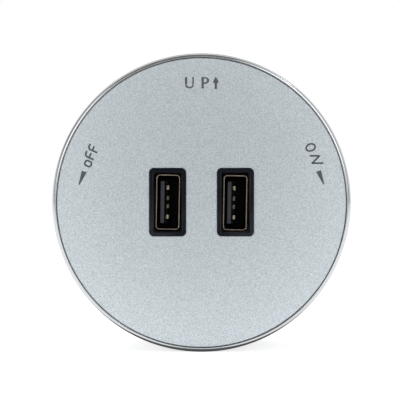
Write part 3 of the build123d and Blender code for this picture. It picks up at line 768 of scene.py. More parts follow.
def material(name):
    """An empty node material and its object coordinates."""
    made = bpy.data.materials.new(name)
    made.use_nodes = True
    return made, add(made.node_tree, "ShaderNodeTexCoord").outputs["Object"]


def noise(place, size, detail=3.0, stretch=(1, 1, 1), seed=0.0):
    """Noise whose features are about a size in millimetres, stretched along axes."""
    scale = [1 / (size * MM) / amount for amount in stretch]
    mapped = result("ShaderNodeMapping", {"Vector": place, "Scale": scale, "Location": (seed, seed, seed)})
    return result("ShaderNodeTexNoise", {"Vector": mapped, "Scale": 1.0, "Detail": detail}, "Fac")


def forwards(place, low, high):
    """How far a point lies forwards between two drawn levels."""
    depth = result("ShaderNodeSeparateXYZ", {"Vector": place}, 1)
    return between(depth, 0.0, 1.0, -low * MM, -high * MM)


def mixed(factor, first, second, way="MIX"):
    """A mix of two colours."""
    first, second = [(*value, 1) if isinstance(value, tuple) else value for value in (first, second)]
    inputs = {0: factor, 6: first, 7: second}
    return result("ShaderNodeMix", inputs, 2, data_type="RGBA", blend_type=way)


def shaded(colour, amount):
    """A colour made darker or lighter."""
    return tuple(min(part * amount, 1.0) for part in colour)


def dressed(made, colour, roughness, height, depth, metallic=0.0, specular=0.5):
    """Fill in a material's shader. Its height field is bump, with its depth in millimetres."""
    bump = result("ShaderNodeBump", {"Height": height, "Distance": depth * MM, "Strength": 1.0})
    inputs = made.node_tree.nodes["Principled BSDF"].inputs
    fill_in(inputs["Base Color"], colour)
    fill_in(inputs["Roughness"], roughness)
    fill_in(inputs["Normal"], bump)
    fill_in(inputs["Metallic"], metallic)
    fill_in(inputs["Specular IOR Level"], specular)
    return made


def worn_edges(tree, reach):
    """How far a point is towards a sharp edge, from the turn of a rounded normal."""
    soft = add(tree, "ShaderNodeBevel", {"Radius": reach * MM}, samples=4).outputs[0]
    true = add(tree, "ShaderNodeNewGeometry").outputs["Normal"]
    turn = result("ShaderNodeVectorMath", {0: soft, 1: true}, "Value", operation="DOT_PRODUCT")
    return between(turn, 1.0, 0.0, 0.80, 0.99)


def moulded(name, colour, roughness, grain=0.25, depth=0.006):
    """Moulded plastic: fine texture, uneven gloss, faint clouds of colour and rubbed edges."""
    made, place = material(name)
    clouds = noise(place, 6.0, 4.0)
    fine = noise(place, grain, 2.0)
    base = mixed(clouds, shaded(colour, 1 - mottle), shaded(colour, 1 + mottle))
    rubbed = mixed(0.6, base, shaded(colour, rubbed_light))
    base = mixed(worn_edges(made.node_tree, rubbed_reach), base, rubbed)
    uneven = plus(times(clouds, 0.6), times(fine, 0.4))
    gloss = between(uneven, roughness - uneven_gloss, roughness + uneven_gloss)
    return dressed(made, base, gloss, fine, depth)


def metal(name, colour, roughness, brush=(1, 1, 1)):
    """Bare or plated metal: brush marks along an axis, uneven gloss and a little tarnish."""
    made, place = material(name)
    clouds = noise(place, 3.0, 4.0)
    marks = noise(place, 0.15, 3.0, brush)
    base = mixed(clouds, shaded(colour, 1 - tarnish), shaded(colour, 1 + tarnish))
    base = mixed(times(marks, 0.35), base, shaded(colour, 0.6))
    uneven = plus(times(clouds, 0.5), times(marks, 0.5))
    gloss = between(uneven, roughness * 0.7, roughness * 1.4)
    return dressed(made, base, gloss, marks, 0.001, metallic=1.0)


def painted_face_light(place):
    """Painted light and shade for the face: darker in the middle and towards the top, lighter towards its
    edge and bottom.
    """
    reach = result("ShaderNodeVectorMath", {0: place}, "Value", operation="LENGTH")
    height = result("ShaderNodeSeparateXYZ", {"Vector": place}, 2)
    level = plus(times(reach, reach, painted_light_dish), times(height, painted_light_slope), painted_light_middle)
    return result("ShaderNodeCombineXYZ", {0: level, 1: level, 2: level})


def silver_paint(name, flakes, painted_light=None):
    """Metallic paint: fine flakes that each reflect a little differently, with painted light and shade where
    it is given.
    """
    made, place = material(name)
    silver = (0.520, 0.566, 0.592)
    grain = noise(place, 0.23, 1.5)
    speck = noise(place, 0.14, 1.0, seed=3.0)
    tint = noise(place, 0.36, 1.0, seed=7.0)
    clouds = noise(place, 9.0, 3.0, seed=1.0)
    both = plus(times(grain, 0.5), times(speck, 0.5))
    flaked = between(both, 0.0, 1.0, 0.36, 0.64)
    colour = mixed(flaked, shaded(silver, 1 - flakes), shaded(silver, 1 + flakes))
    cool = mixed(between(tint, 0.0, 1.0, 0.35, 0.65), (0.97, 1.0, 0.97), (0.99, 0.98, 1.02))
    colour = mixed(1.0, colour, cool, "MULTIPLY")
    # The face's painted light and shade, multiplied into its colour: darker in the middle and towards the
    # top.
    if painted_light:
        colour = mixed(1.0, colour, painted_light(place), "MULTIPLY")
    return dressed(made, colour, between(clouds, 0.38, 0.46), both, 0.003, metallic=0.30)


def bright_chrome():
    """Polished chrome with hairlines and faint haze."""
    made, place = material("bright_chrome")
    haze = noise(place, 4.0, 4.0)
    hairs = noise(place, 0.12, 2.0, (1, 12, 1))
    colour = mixed(haze, (0.76, 0.78, 0.80), (0.86, 0.88, 0.90))
    return dressed(made, colour, between(haze, 0.06, 0.12), hairs, 0.0004, metallic=1.0)


def port_black():
    """Gloss black plastic, a little blue, with handling haze, and dull inside its mouths."""
    made, place = material("port_black")
    haze = noise(place, 2.5, 4.0)
    fine = noise(place, 0.15, 2.0)
    colour = mixed(haze, (0.0015, 0.0030, 0.0065), (0.0030, 0.0052, 0.0100))
    mouth = forwards(place, frame_front - 0.35, frame_front - 0.20)
    polish = result("ShaderNodeMix", {0: mouth, 2: 0.5, 3: between(haze, 0.03, 0.07)})
    return dressed(made, colour, polish, fine, 0.0005, specular=0.32)


def shell_steel():
    """Tin-plated steel, bright on its cut front edge with painted glints, and painted shade inside: near
    black, mottled brown.
    """
    made, place = material("shell_steel")
    front = forwards(place, shell_front - 0.035, shell_front - 0.008)
    stains = noise(place, 0.5, 4.0)
    flecks = noise(place, 0.22, 2.0, seed=5.0)
    edge = mixed(between(stains, 0.0, 1.0, 0.35, 0.65), (0.30, 0.27, 0.235), (0.50, 0.44, 0.37))
    edge = mixed(between(flecks, 0.0, 0.8, 0.52, 0.66), edge, (0.45, 0.22, 0.09))
    # Painted glints: pale specks on the front edge.
    painted_glints = between(noise(place, 0.4, 2.0, seed=9.0), 0.0, 1.0, 0.60, 0.66)
    edge = mixed(painted_glints, edge, (0.85, 0.80, 0.70))
    # Painted shade: the shell is near black behind its front edge, mottled brown.
    inside = mixed(between(stains, 0.0, 1.0), (0.012, 0.010, 0.009), (0.060, 0.036, 0.020))
    colour = mixed(front, inside, edge)
    return dressed(made, colour, between(stains, 0.32, 0.52), flecks, 0.003, metallic=0.75)


def contact_gold():
    """Gold-plated contacts: bright on their crests near the tongue's front, partly rubbed plating and partly
    painted highlight, with painted shade that dulls the deeper ones and leaves the rest of each contact near
    black.
    """
    made, place = material("contact_gold")
    front = forwards(place, tongue_front - 3.2, tongue_front - 2.0)
    # The crest mask: bright there for rubbed plating and a painted highlight, and painted shade near black
    # elsewhere.
    rubbed = add(made.node_tree, "ShaderNodeAttribute", attribute_name="rubbed").outputs["Fac"]
    rub = noise(place, 0.25, 3.0, (1, 5, 1))
    worn_and_lit = mixed(rub, (1.0, 0.82, 0.57), (1.0, 0.91, 0.73))
    # Painted shade: the contacts that lie deeper are duller.
    dull = mixed(rub, (0.20, 0.17, 0.14), (0.40, 0.35, 0.27))
    colour = mixed(rubbed, (0.015, 0.012, 0.008), mixed(front, dull, worn_and_lit))
    return dressed(made, colour, between(rub, 0.30, 0.48), rub, 0.002, metallic=0.12)


def tongue_black():
    """Black moulding, grey on its exposed front, with painted shade that makes all of it behind the front
    near black.
    """
    made, place = material("tongue_black")
    front = forwards(place, tongue_front - 0.4, tongue_front - 0.05)
    streaks = noise(place, 0.5, 3.0, (1, 1, 4))
    grey = mixed(streaks, (0.042, 0.044, 0.051), (0.068, 0.071, 0.082))
    # Painted shade: near black behind the tongue's front, grey on the front.
    colour = mixed(front, (0.0015, 0.0015, 0.0018), grey)
    return dressed(made, colour, between(streaks, 0.5, 0.65), streaks, 0.004, specular=0.12)


def ink(name, colour):
    """Printed ink: slightly uneven cover and a dull surface."""
    made, place = material(name)
    cover = noise(place, 0.18, 3.0)
    colour = mixed(cover, shaded(colour, 0.88), shaded(colour, 1.15))
    return dressed(made, colour, between(cover, 0.5, 0.7), cover, 0.002)


# Plastics: colour and roughness, then the size and depth of the grain where it isn't the usual one
PLASTICS = {
    "board_green": ((0.020, 0.110, 0.045), 0.35, 0.6, 0.004),
    "ferrite": ((0.045, 0.045, 0.048), 0.6, 0.12, 0.01),
    "former_black": ((0.02, 0.02, 0.02), 0.4),
    "winding_tape": ((0.62, 0.42, 0.06), 0.3, 0.8, 0.01),
    "can_sleeve": ((0.018, 0.022, 0.045), 0.3),
    "blue_ceramic": ((0.05, 0.16, 0.42), 0.35, 0.3, 0.008),
    "chip_black": ((0.022, 0.022, 0.024), 0.55, 0.1),
    "fuse_brown": ((0.13, 0.055, 0.030), 0.4),
    "key_grey": ((0.165, 0.175, 0.185), 0.5, 0.3, 0.008),
    "base_grey": ((0.185, 0.195, 0.205), 0.5, 0.3, 0.008),
    "live_lead": ((0.16, 0.060, 0.025), 0.4),
    "neutral_lead": ((0.02, 0.09, 0.34), 0.4),
    "washer_white": ((0.72, 0.71, 0.68), 0.35),
    "pin_white": ((0.66, 0.66, 0.63), 0.4),
}
# Metals: colour and roughness, then how far the brush marks are stretched along each axis
METALS = {
    "zinc_screw": ((0.62, 0.63, 0.62), 0.30),
    "contact_nickel": ((0.66, 0.63, 0.58), 0.24, (1, 1, 8)),
    "spring_steel": ((0.50, 0.51, 0.52), 0.25),
}
FINISHES = {
    "silver_paint": silver_paint("face_paint", 0.28, painted_face_light),
    "housing_paint": silver_paint("housing_paint", 0.10),
    "bright_chrome": bright_chrome(),
    "port_black": port_black(),
    "dark_ink": ink("dark_ink", (0.068, 0.076, 0.083)),
    "shell_steel": shell_steel(),
    "tongue_black": tongue_black(),
    "contact_gold": contact_gold(),
    **{name: moulded(name, *values) for name, values in PLASTICS.items()},
    **{name: metal(name, *values) for name, values in METALS.items()},
}
for node, slot in SLOTS.items():
    for place in frame["nodes"][node].material_slots:
        place.material = FINISHES["housing_paint" if node == "head_housing" else slot]


# Pieces of the front

def bezel_ring():
    """The chromed ring, swept round the axis."""
    inner = ring_radius - ring_width
    skirt_bore = housing_radius + ring_seat_gap
    flange_bore = skirt_bore - ring_flange_width
    flange_front = ring_front - ring_flange_depth
    flange_rear = flange_front - ring_flange_thickness
    section = eased([
        (ring_radius, ring_rear, ring_rear_round),
        (ring_radius, ring_front, ring_outer_round),
        (inner, ring_front, ring_inner_round),
        (inner, flange_front, 0),
        (flange_bore, flange_front, 0),
        (flange_bore, flange_rear, 0),
        (skirt_bore, flange_rear, 0),
        (skirt_bore, ring_rear, 0),
    ], closed=True)
    shape = bmesh.new()
    path = [(radius - ring_radius, -level, 0) for radius, level in section]
    grow(shape, section_ring, "bright_chrome", {"Circle": ring_radius}, [path], closed=(0,))
    stands_for("bezel_ring", shape)


def face_plate():
    """The silver disc with a rounded cut-out for each port frame."""
    holes = []
    for place in port_places.values():
        corner = frame_corner + cutout_gap
        outline = box_outline(frame_width, frame_height, corner, (place, port_rise), room=cutout_gap)
        holes.append((outline, wall_section(face_rear, face_front, 0, face_edge_round, -1)))
    shape = bmesh.new()
    rim = wall_section(face_rear, face_front, 0, face_edge_round)
    plate(shape, round_outline(face_radius - face_shrink, 288), rim, holes)
    stands_for("face_plate", shape)


def port_panel():
    """The black panel: its rim and body, a raised frame and guide wall for each port, and four posts."""
    shape = bmesh.new()
    holes = []
    funnel_rear = frame_front - funnel_depth
    funnel_width = (frame_width - shell_width) / 2 - shell_gap
    guide_room = shell_gap + guide_wall
    for place in port_places.values():
        at = place, port_rise
        guide = box_outline(shell_width, shell_height, shell_corner + guide_wall, at, room=guide_room)
        throat = box_outline(shell_width, shell_height, shell_corner + shell_gap / 2, at, room=shell_gap)
        over = eased([
            (0, face_rear, 0),
            (0, frame_front - frame_slant, frame_edge_round),
            (-slant_width, frame_front, slant_round),
            (-frame_land + slant_width, frame_front, slant_round),
            (-frame_land, frame_front - frame_slant, frame_edge_round),
            (-funnel_width, funnel_rear, 0),
        ])
        section = [(0, guide_rear, guide), (0, face_rear, guide), *over[:-1]]
        section += [(0, funnel_rear, throat), (0, guide_rear, throat)]
        rows_along(shape, box_outline(frame_width, frame_height, frame_corner, at), section, closed=True)
        holes.append((guide, [(0, panel_rear), (0, face_rear)]))
    rim = panel_radius - panel_body_radius
    steps = [(0, panel_rear), (0, panel_rim_rear), (rim, panel_rim_rear), (rim, face_rear)]
    plate(shape, round_outline(panel_body_radius, 288), steps, holes)
    wall = post_radius - post_bore
    post = eased([
        (0, panel_rear, 0),
        (0, post_rear, post_round),
        (-wall, post_rear, post_round),
        (-wall, panel_rear, 0),
    ])
    for angle in post_angles:
        outline = round_outline(post_radius, 40, on_circle(post_circle, angle))
        rows_along(shape, outline, post, closed=True)
    stands_for("port_panel", shape, crease=35)


# Receptacles, drawn upright about the axis and then set in their ports

def receptacle_place(name):
    """Where a receptacle sits in its port, a little turned and low."""
    at = port_places[name], port_rise - receptacle_drops[name], 0
    return Matrix.Translation(at) @ Matrix.Rotation(radians(receptacle_tilt), 4, "Z")


def shell_wall():
    """A receptacle's folded wall as a bare surface, with a window for each finger."""
    shape = bmesh.new()
    half = finger_width / 2 + finger_slit
    stops = [side * finger_place + more for side in (-1, 1) for more in (-half, half)]
    corners = box_outline(shell_width, shell_height, shell_corner, steps=6)()
    points = []
    for point, after in zip(corners, [*corners[1:], corners[0]]):
        points.append(point)
        if abs(after[1] - point[1]) > shell_height / 2:
            points += [(point[0], height) for height in (stops if after[1] > point[1] else stops[::-1])]
    window_front = shell_front - finger_root
    levels = [board_front, window_front - finger_length, window_front, shell_front]
    rows = [[shape.verts.new((x, y, level)) for x, y in points] for level in levels]
    for row, (low, high) in enumerate(zip(rows, rows[1:])):
        for here in range(len(low)):
            after = (here + 1) % len(low)
            first, second = low[here].co, low[after].co
            middle = (first.y + second.y) / 2
            on_side = abs(abs(first.x) - shell_width / 2) < 0.001 and abs(first.x - second.x) < 0.001
            if row == 1 and on_side and abs(abs(middle) - finger_place) < half:
                continue
            shape.faces.new((low[here], low[after], high[after], high[here]))
    return shape


def thickened(surface, sheet, ease):
    """A bare surface made into sheet metal with eased edges."""
    source = on_stage("sheet", mesh_of("sheet", surface))
    wall = source.modifiers.new("wall", "SOLIDIFY")
    wall.thickness = sheet
    wall.offset = -1
    wall.use_even_offset = True
    soft = source.modifiers.new("soft", "BEVEL")
    soft.width = ease
    soft.segments = 2
    soft.limit_method = "ANGLE"
    soft.angle_limit = radians(50)
    made = applied(source)
    bpy.data.objects.remove(source)
    return made


def usb_shell(name):
    """A receptacle's shell: a folded wall with sprung fingers in its windows, and two legs."""
    shape = bmesh.new()
    shape.from_mesh(thickened(shell_wall(), shell_sheet, shell_edge))
    fingers = []
    root = shell_front - finger_root
    for side in (-1, 1):
        wall = side * (shell_width - finger_sheet) / 2
        bends = [
            (wall, root + shell_sheet),
            (wall, root - finger_length * finger_start_share),
            (wall - side * finger_bend, root - finger_length * finger_dent_share),
            (wall - side * finger_bend / 2, root - finger_length + finger_slit),
        ]
        fingers += [[(x, height, level) for x, level in bends] for height in (-finger_place, finger_place)]
    sizes = {"Width": finger_width, "Sheet": finger_sheet, "Bend": finger_round}
    grow(shape, strips, "shell_steel", sizes, fingers)
    leg_ends = board_rear - shell_leg_reach, board_front + shell_sheet
    for side in (-1, 1):
        at = 0, side * (shell_height - shell_sheet) / 2
        leg = box_outline(shell_leg_width, shell_sheet, shell_sheet / 3, at, 3)
        plate(shape, leg, wall_section(*leg_ends, shell_leg_edge, shell_leg_edge))
    stands_for("usb_shell_" + name, shape, place=receptacle_place(name))


def usb_tongue(name):
    """A receptacle's moulding: a block on the board and a stepped tongue with a slot for each contact."""
    shape = bmesh.new()
    step = tongue_front - tongue_step
    block_front = board_front + block_height
    comb = comb_outline(
        tongue_left, tongue_right, tongue_height, contact_slot_depth, contact_slot_width, contact_places
    )
    lip_width = tongue_front_thickness - tongue_inset
    lip_at = tongue_left + tongue_inset + lip_width / 2, 0
    lip = box_outline(lip_width, tongue_height - 2 * tongue_inset, tongue_corner, lip_at, 3)
    raised = eased([
        (0, step, 0),
        (0, tongue_front - tongue_chamfer, tongue_round),
        (-tongue_chamfer, tongue_front, tongue_round),
    ])
    wall = wall_section(block_front - tongue_overlap, step, 0, tongue_step_round)
    plate(shape, comb, wall, front_pockets=[(lip, raised)])
    block = box_outline(shell_width, shell_height, block_corner, room=-block_margin)
    through = wall_section(board_front, block_front, 0, 0, -1)
    tails = [
        (box_outline(*contact_tail_slot, (contact_lie, height), 2), through)
        for height in contact_places
    ]
    plate(shape, block, wall_section(board_front, block_front, *block_rounds), tails)
    stands_for("usb_insulator_" + name, shape, place=receptacle_place(name), crease=30)


def usb_contacts(name):
    """A receptacle's four sprung contacts with their solder tails, masked on their crests for partly rubbed
    plating and partly painted highlight, and elsewhere for painted shade.
    """
    blades = []
    for height, depth in contact_places.items():
        crest = tongue_front - depth
        blades.append([
            (contact_lie, height, board_rear - contact_tail_reach),
            (contact_lie, height, crest - contact_rise),
            (contact_crest, height, crest),
            (contact_lie, height, crest + contact_front),
        ])
    shape = bmesh.new()
    sizes = {"Width": contact_width, "Sheet": contact_sheet, "Bend": contact_round}
    grow(shape, strips, "contact_gold", sizes, blades)
    # The crest mask: partly rubbed plating and partly painted highlight, painted shade elsewhere.
    rubbed = shape.verts.layers.float.new("rubbed")
    for corner in shape.verts:
        up_the_crest = (corner.co.x - contact_lie) / (contact_crest - contact_lie)
        corner[rubbed] = min(max((up_the_crest - rubbed_and_lit_from) / rubbed_and_lit_over, 0), 1)
        if corner.co.z < board_front:
            height = min(contact_places, key=lambda place: abs(place - corner.co.y))
            corner.co.y = height + (corner.co.y - height) * contact_tail_share
    stands_for("usb_contacts_" + name, shape, place=receptacle_place(name))


# Screws, of which each kind is drawn once and repeated round the axis

def threaded(shape, radius, pitch, start, end, columns=20):
    """A threaded shank between two levels, with its ends closed, as the first thing in a shape."""
    depth = thread_depth_share * pitch
    profile = [(0.0, -depth), (0.25, -depth), (0.55, 0.0), (0.7, 0.0)]
    rows = []
    for turn in range(-1, int((end - start) / pitch) + 3):
        for share, more in profile:
            row = []
            for column in range(columns):
                level = start + pitch * (turn + share + column / columns)
                around = 2 * pi * column / columns
                reach = radius + (more if start < level < end else -depth)
                level = min(max(level, start), end)
                row.append(shape.verts.new((reach * cos(around), reach * sin(around), level)))
            rows.append(row)
    turn_rows = len(profile)
    for here, (low, high) in enumerate(zip(rows, rows[1:])):
        for column in range(columns - 1):
            shape.faces.new((low[column], low[column + 1], high[column + 1], high[column]))
        if here + 1 + turn_rows < len(rows):
            shape.faces.new((low[-1], rows[here + turn_rows][0], rows[here + 1 + turn_rows][0], high[-1]))
    bmesh.ops.remove_doubles(shape, verts=shape.verts, dist=0.0005)
    bmesh.ops.dissolve_degenerate(shape, dist=0.0005, edges=shape.edges)
    bmesh.ops.holes_fill(shape, edges=[side for side in shape.edges if side.is_boundary], sides=0)


def screws(node, head, height, radius, length, seat, facing, circle, angles, shoulder=(0.0, 0.0)):
    """Cross-slotted screws on a circle, each at its own turn. A shoulder has a radius and a length."""
    screw = bmesh.new()
    shoulder_radius, shoulder_length = shoulder
    threaded(screw, radius, radius * pitch_share, -length, -shoulder_length - screw_play)
    if shoulder_length:
        wall = wall_section(-shoulder_length, 0, shoulder_round, 0)
        plate(screw, round_outline(shoulder_radius, 32), wall)
    recess = cross_outline(head * cross_reach_share, head * cross_width_share)
    sunk = [(0, height), (-head * cross_taper_share, height * cross_floor_share)]
    dome = eased([(0, 0, 0), (0, height, height * head_round_share), (-head * head_flat_share, height, 0)])
    plate(screw, round_outline(head, 40), dome, front_pockets=[(recess, sunk)])
    screw.transform(Matrix.Translation((0, 0, seat)) @ Matrix.Rotation(0 if facing > 0 else pi, 4, "X"))
    one = bpy.data.objects.new("one_screw", mesh_of("one_screw", screw))
    count = len(angles)
    sizes = {"Piece": one, "Count": count, "Circle": circle, "First angle": radians(angles[0]), "Seed": count}
    shape = bmesh.new()
    grow(shape, round_axis, "zinc_screw", sizes, [[(0, 0, 0)]])
    bpy.data.objects.remove(one)
    stands_for(node, shape, crease=30)


def all_screws():
    """Every screw of the module, in its five kinds. Those that face the rear are at -1."""
    screws(
        "panel_screws", head=2.1, height=1.6, radius=1.2, length=9.0,
        seat=8.6, facing=-1, circle=post_circle, angles=post_angles,
    )
    screws(
        "board_screws", head=1.7, height=1.2, radius=0.95, length=4.0,
        seat=board_front, facing=1, circle=29.3, angles=(0, 180),
    )
    screws(
        "key_flange_screws", head=1.7, height=1.2, radius=0.95, length=3.8,
        seat=key_flange_front, facing=1, circle=flange_screw_circle, angles=flange_screw_angles,
    )
    screws(
        "key_screws", head=1.6, height=1.3, radius=0.9, length=15.4,
        seat=key_rear + 1.6, facing=-1, circle=key_screw_place, angles=(0, 180),
    )
    screws(
        "shoulder_screws", head=2.85, height=1.8, radius=1.5, length=8.0,
        seat=2.2, facing=-1, circle=shoulder_circle, angles=slot_starts, shoulder=(2.0, 4.2),
    )


# The base and what stands in it

def base_plate():
    """The base: a plate with arc slots for the shoulder screws, pockets for the lock pins and two ribs."""
    bore = wall_section(0, base_front, base_bore_round, base_bore_round, -1)
    holes = [(round_outline(base_bore, 96), bore)]
    wider = counterbore_half - shoulder_slot_half
    step = eased([
        (wider + counterbore_chamfer, 0, 0),
        (wider, counterbore_chamfer, 0),
        (wider, counterbore_depth, counterbore_round),
        (0, counterbore_depth, counterbore_round),
        (0, base_front, 0),
    ])
    for start in slot_starts:
        holes.append((slot_outline(shoulder_circle, shoulder_slot_half, start, start + slot_sweep), step))
    pocket = [
        (button_bore + button_bore_chamfer, 0),
        (button_bore, button_bore_chamfer),
        (button_bore, pocket_floor),
        (pocket_radius, pocket_floor),
        (pocket_radius, cover_rear),
        (cover_seat_radius, cover_rear),
        (cover_seat_radius, base_front),
    ]
    for side in (-1, 1):
        holes.append((round_outline(0, 48, (0, side * lock_circle)), pocket))
    rib = eased([
        (rib_foot, 0, 0),
        (0, 0, rib_foot_round),
        (0, rib_rear, rib_round),
        (-rib_chamfer, rib_rear, 0),
    ])
    ribs = [(box_outline(rib_length, rib_width, rib_corner, (side * rib_place, 0)), rib) for side in (-1, 1)]
    rim = eased([
        (-base_edge_chamfer, 0, 0),
        (0, base_edge_chamfer, base_edge_round),
        (0, base_front - base_edge_chamfer, base_edge_round),
        (-base_edge_chamfer, base_front, 0),
    ])
    shape = bmesh.new()
    plate(shape, round_outline(base_radius, 240), rim, holes, rear_pockets=ribs)
    stands_for("base_plate", shape, "base", crease=35)


def lock_pin(name, side):
    """A lock pin: its button, collar, neck and bevelled cap."""
    section = eased([
        (button_flat, 0, 0),
        (button_radius, 0, button_round),
        (button_radius, collar_rear, pin_foot_round),
        (collar_radius, collar_rear, pin_edge_round),
        (collar_radius, collar_front, pin_edge_round),
        (pin_neck_radius, collar_front, pin_foot_round),
        (pin_neck_radius, pin_cap_rear, pin_cap_foot_round),
        (pin_cap_radius, pin_cap_rear, pin_edge_round),
        (pin_cap_radius, pin_cap_rear + pin_cap_height / 2, pin_bevel_round),
        (pin_neck_radius, pin_cap_rear + pin_cap_height, 0),
    ])
    shape = bmesh.new()
    plate(shape, round_outline(0, 48, (0, side * lock_circle)), section)
    stands_for("lock_pin_" + name, shape, "pin_" + name, crease=35)


def lock_spring(name, side):
    """The coiled spring between a pin's collar and its cover."""
    sizes = {"Radius": spring_radius, "Rise": spring_rise, "Turns": spring_turns, "Wire": spring_wire}
    shape = bmesh.new()
    grow(shape, wound_wire, "spring_steel", sizes, [[(0, 0, 0)]])
    place = Matrix.Translation((0, side * lock_circle, spring_rear))
    stands_for("lock_spring_" + name, shape, "base", place)


def pin_covers():
    """The two rings pressed into the base over the springs."""
    shape = bmesh.new()
    for side in (-1, 1):
        at = 0, side * lock_circle
        bore = wall_section(cover_rear, base_front, cover_bore_round, cover_bore_round, -1)
        rim = wall_section(cover_rear, base_front, cover_round, cover_round)
        plate(shape, round_outline(cover_radius, 48, at), rim, [(round_outline(cover_bore, 32, at), bore)])
    stands_for("pin_covers", shape, "base")


def glide_washer():
    """The washer that the head turns on, with a rounded bore and rim."""
    shape = bmesh.new()
    bore = wall_section(base_front, floor_rear, washer_round, washer_round, -1)
    rim = wall_section(base_front, floor_rear, washer_round, washer_round)
    plate(shape, round_outline(washer_radius, 128), rim, [(round_outline(washer_bore, 128), bore)])
    stands_for("glide_washer", shape, "base")


# The track key and its contacts

def key_holes(lead_section, screw_radius, screw_section):
    """Holes for the two leads and the two screws. Returns them apart."""
    leads = [(round_outline(lead_bore, 24, (0, side * lead_place)), lead_section) for side in (-1, 1)]
    places = [(side * key_screw_place, 0) for side in (-1, 1)]
    return leads, [(round_outline(screw_radius, 24, at), screw_section) for at in places]


def key_body():
    """The key's flange, shaft and neck."""
    section = eased([
        (neck_radius, neck_rear, 0),
        (neck_radius, shaft_rear, neck_foot_round),
        (shaft_radius, shaft_rear, shaft_round),
        (shaft_radius, floor_front, key_flange_foot_round),
        (key_flange_radius, floor_front, key_flange_round),
        (key_flange_radius, key_flange_front, 0),
    ])
    thread = [
        (hole_chamfer, neck_rear),
        (0, neck_rear + hole_chamfer),
        (0, neck_rear + hole_chamfer + key_screw_grip),
    ]
    through = wall_section(neck_rear, key_flange_front, lead_bore_round, lead_bore_round, -1)
    leads, blind = key_holes(through, key_screw_thread, thread)
    seat = [(hole_chamfer, key_flange_front), (0, key_flange_front - hole_chamfer), (0, floor_front)]
    seats = [
        (round_outline(key_screw_bore, 24, on_circle(flange_screw_circle, angle)), seat)
        for angle in flange_screw_angles
    ]
    shape = bmesh.new()
    plate(shape, round_outline(0, 128), section, leads, rear_pockets=blind, front_pockets=seats)
    stands_for("key_body", shape, crease=35)


def key_spacer():
    """The front half of the key's hooking block."""
    bored = wall_section(spacer_rear, neck_rear, hole_chamfer, 0, -1)
    leads, screw_holes = key_holes(bored, key_screw_bore, bored)
    shape = bmesh.new()
    block = wall_section(spacer_rear, neck_rear - strip_gap, *spacer_rounds)
    plate(shape, box_outline(key_width, key_length, key_corner), block, leads + screw_holes)
    stands_for("key_spacer", shape, crease=35)


def sprung_end(start, level, drop, side):
    """The bends of a track contact that springs out past the key's end."""
    out = key_length / 2 + strip_stand_off
    bends = [(start, level), (out, level), (out + strip_bulge, level - drop / 2), (out, level - drop)]
    return [(0, side * along, height) for along, height in bends]


def track_contacts():
    """The line and neutral strips, and the earth strip with its plate."""
    strip = {
        "Width": strip_width, "Sheet": strip_sheet, "Bend": strip_bend, "Edge": strip_edge,
        "Across": (1.0, 0.0, 0.0),
    }
    for node, side in (("line_contact", 1), ("neutral_contact", -1)):
        shape = bmesh.new()
        bends = sprung_end(strip_start, spacer_rear - strip_lie, strip_drop, side)
        grow(shape, strips, "contact_nickel", strip, [bends])
        stands_for(node, shape)
    level = neck_rear - strip_lie
    low, high = level - strip_sheet / 2, level + strip_sheet / 2
    holes = [
        (round_outline(radius, 24, at), wall_section(low, high, 0, 0, -1))
        for radius, at in (
            (earth_lead_hole, (0, lead_place)),
            (earth_lead_hole, (0, -lead_place)),
            (earth_screw_hole, (key_screw_place, 0)),
            (earth_screw_hole, (-key_screw_place, 0)),
        )
    ]
    outline = box_outline(earth_plate_width, earth_plate_length, earth_plate_corner)
    shape = bmesh.new()
    plate(shape, outline, wall_section(low, high, earth_plate_edge, earth_plate_edge), holes)
    arms = [sprung_end(earth_start, level, earth_drop, side) for side in (-1, 1)]
    grow(shape, strips, "contact_nickel", strip, arms)
    stands_for("earth_contact", shape)


# Printed marks: a stroke is its places, its widths and whether it closes

def stroke(places, *widths, closed=False):
    """A stroke whose widths are spread evenly over its places."""
    values = []
    for number in range(len(places)):
        place = number / (len(places) - 1) * (len(widths) - 1)
        low = max(min(int(place), len(widths) - 2), 0)
        values.append(widths[low] + (widths[min(low + 1, len(widths) - 1)] - widths[low]) * (place - low))
    return places, values, closed


def up_mark():
    """The letters U and P, with slab feet and heavier left stems."""
    top, foot, cup_level = 29.25, 26.95, 27.593
    left, right, stem = -3.642, -1.986, 0.265
    bowl_drop = 0.63
    cup = arc(((left + right) / 2, cup_level), (right - left) / 2, 180, 360, 12, up=0.674)
    round_part = arc((0.836, top - bowl_drop), 0.686, 90, -90, 12, up=bowl_drop)
    bowl = [(stem, top), *round_part, (stem, top - 2 * bowl_drop)]
    return [
        stroke([(left, top), (left, cup_level)], 0.53),
        stroke(cup, 0.53, 0.34, 0.36),
        stroke([(right, cup_level), (right, top)], 0.36),
        stroke([(-3.93, top), (-3.35, top)], 0.32),
        stroke([(-2.22, top), (-1.75, top)], 0.32),
        stroke([(stem, foot - 0.02), (stem, top)], 0.53),
        stroke([(-0.10, foot), (0.63, foot)], 0.36),
        stroke([(-0.08, top), (0.3, top)], 0.30),
        stroke(bowl, 0.30, 0.34, 0.60, 0.42, 0.36),
    ]


def upright(at, angle, drawn):
    """Strokes set at a place, with their tops towards an angle."""
    tops = Vector(on_circle(1, angle))
    right = Vector((tops.y, -tops.x))
    return [
        ([tuple(Vector(at) + tops * up + right * across) for across, up in places], widths, closed)
        for places, widths, closed in drawn
    ]


def letter_f(tall, arm, middle_arm, middle):
    """A letter F whose stem bends into its arm."""
    corner, width = 0.60, 0.43
    bend = arc((corner, tall / 2 - corner), corner, 180, 90, 6)
    stem = [(0, -tall / 2), *bend, (arm, tall / 2)]
    return [stroke(stem, width), stroke([(0, middle), (middle_arm, middle)], width)]


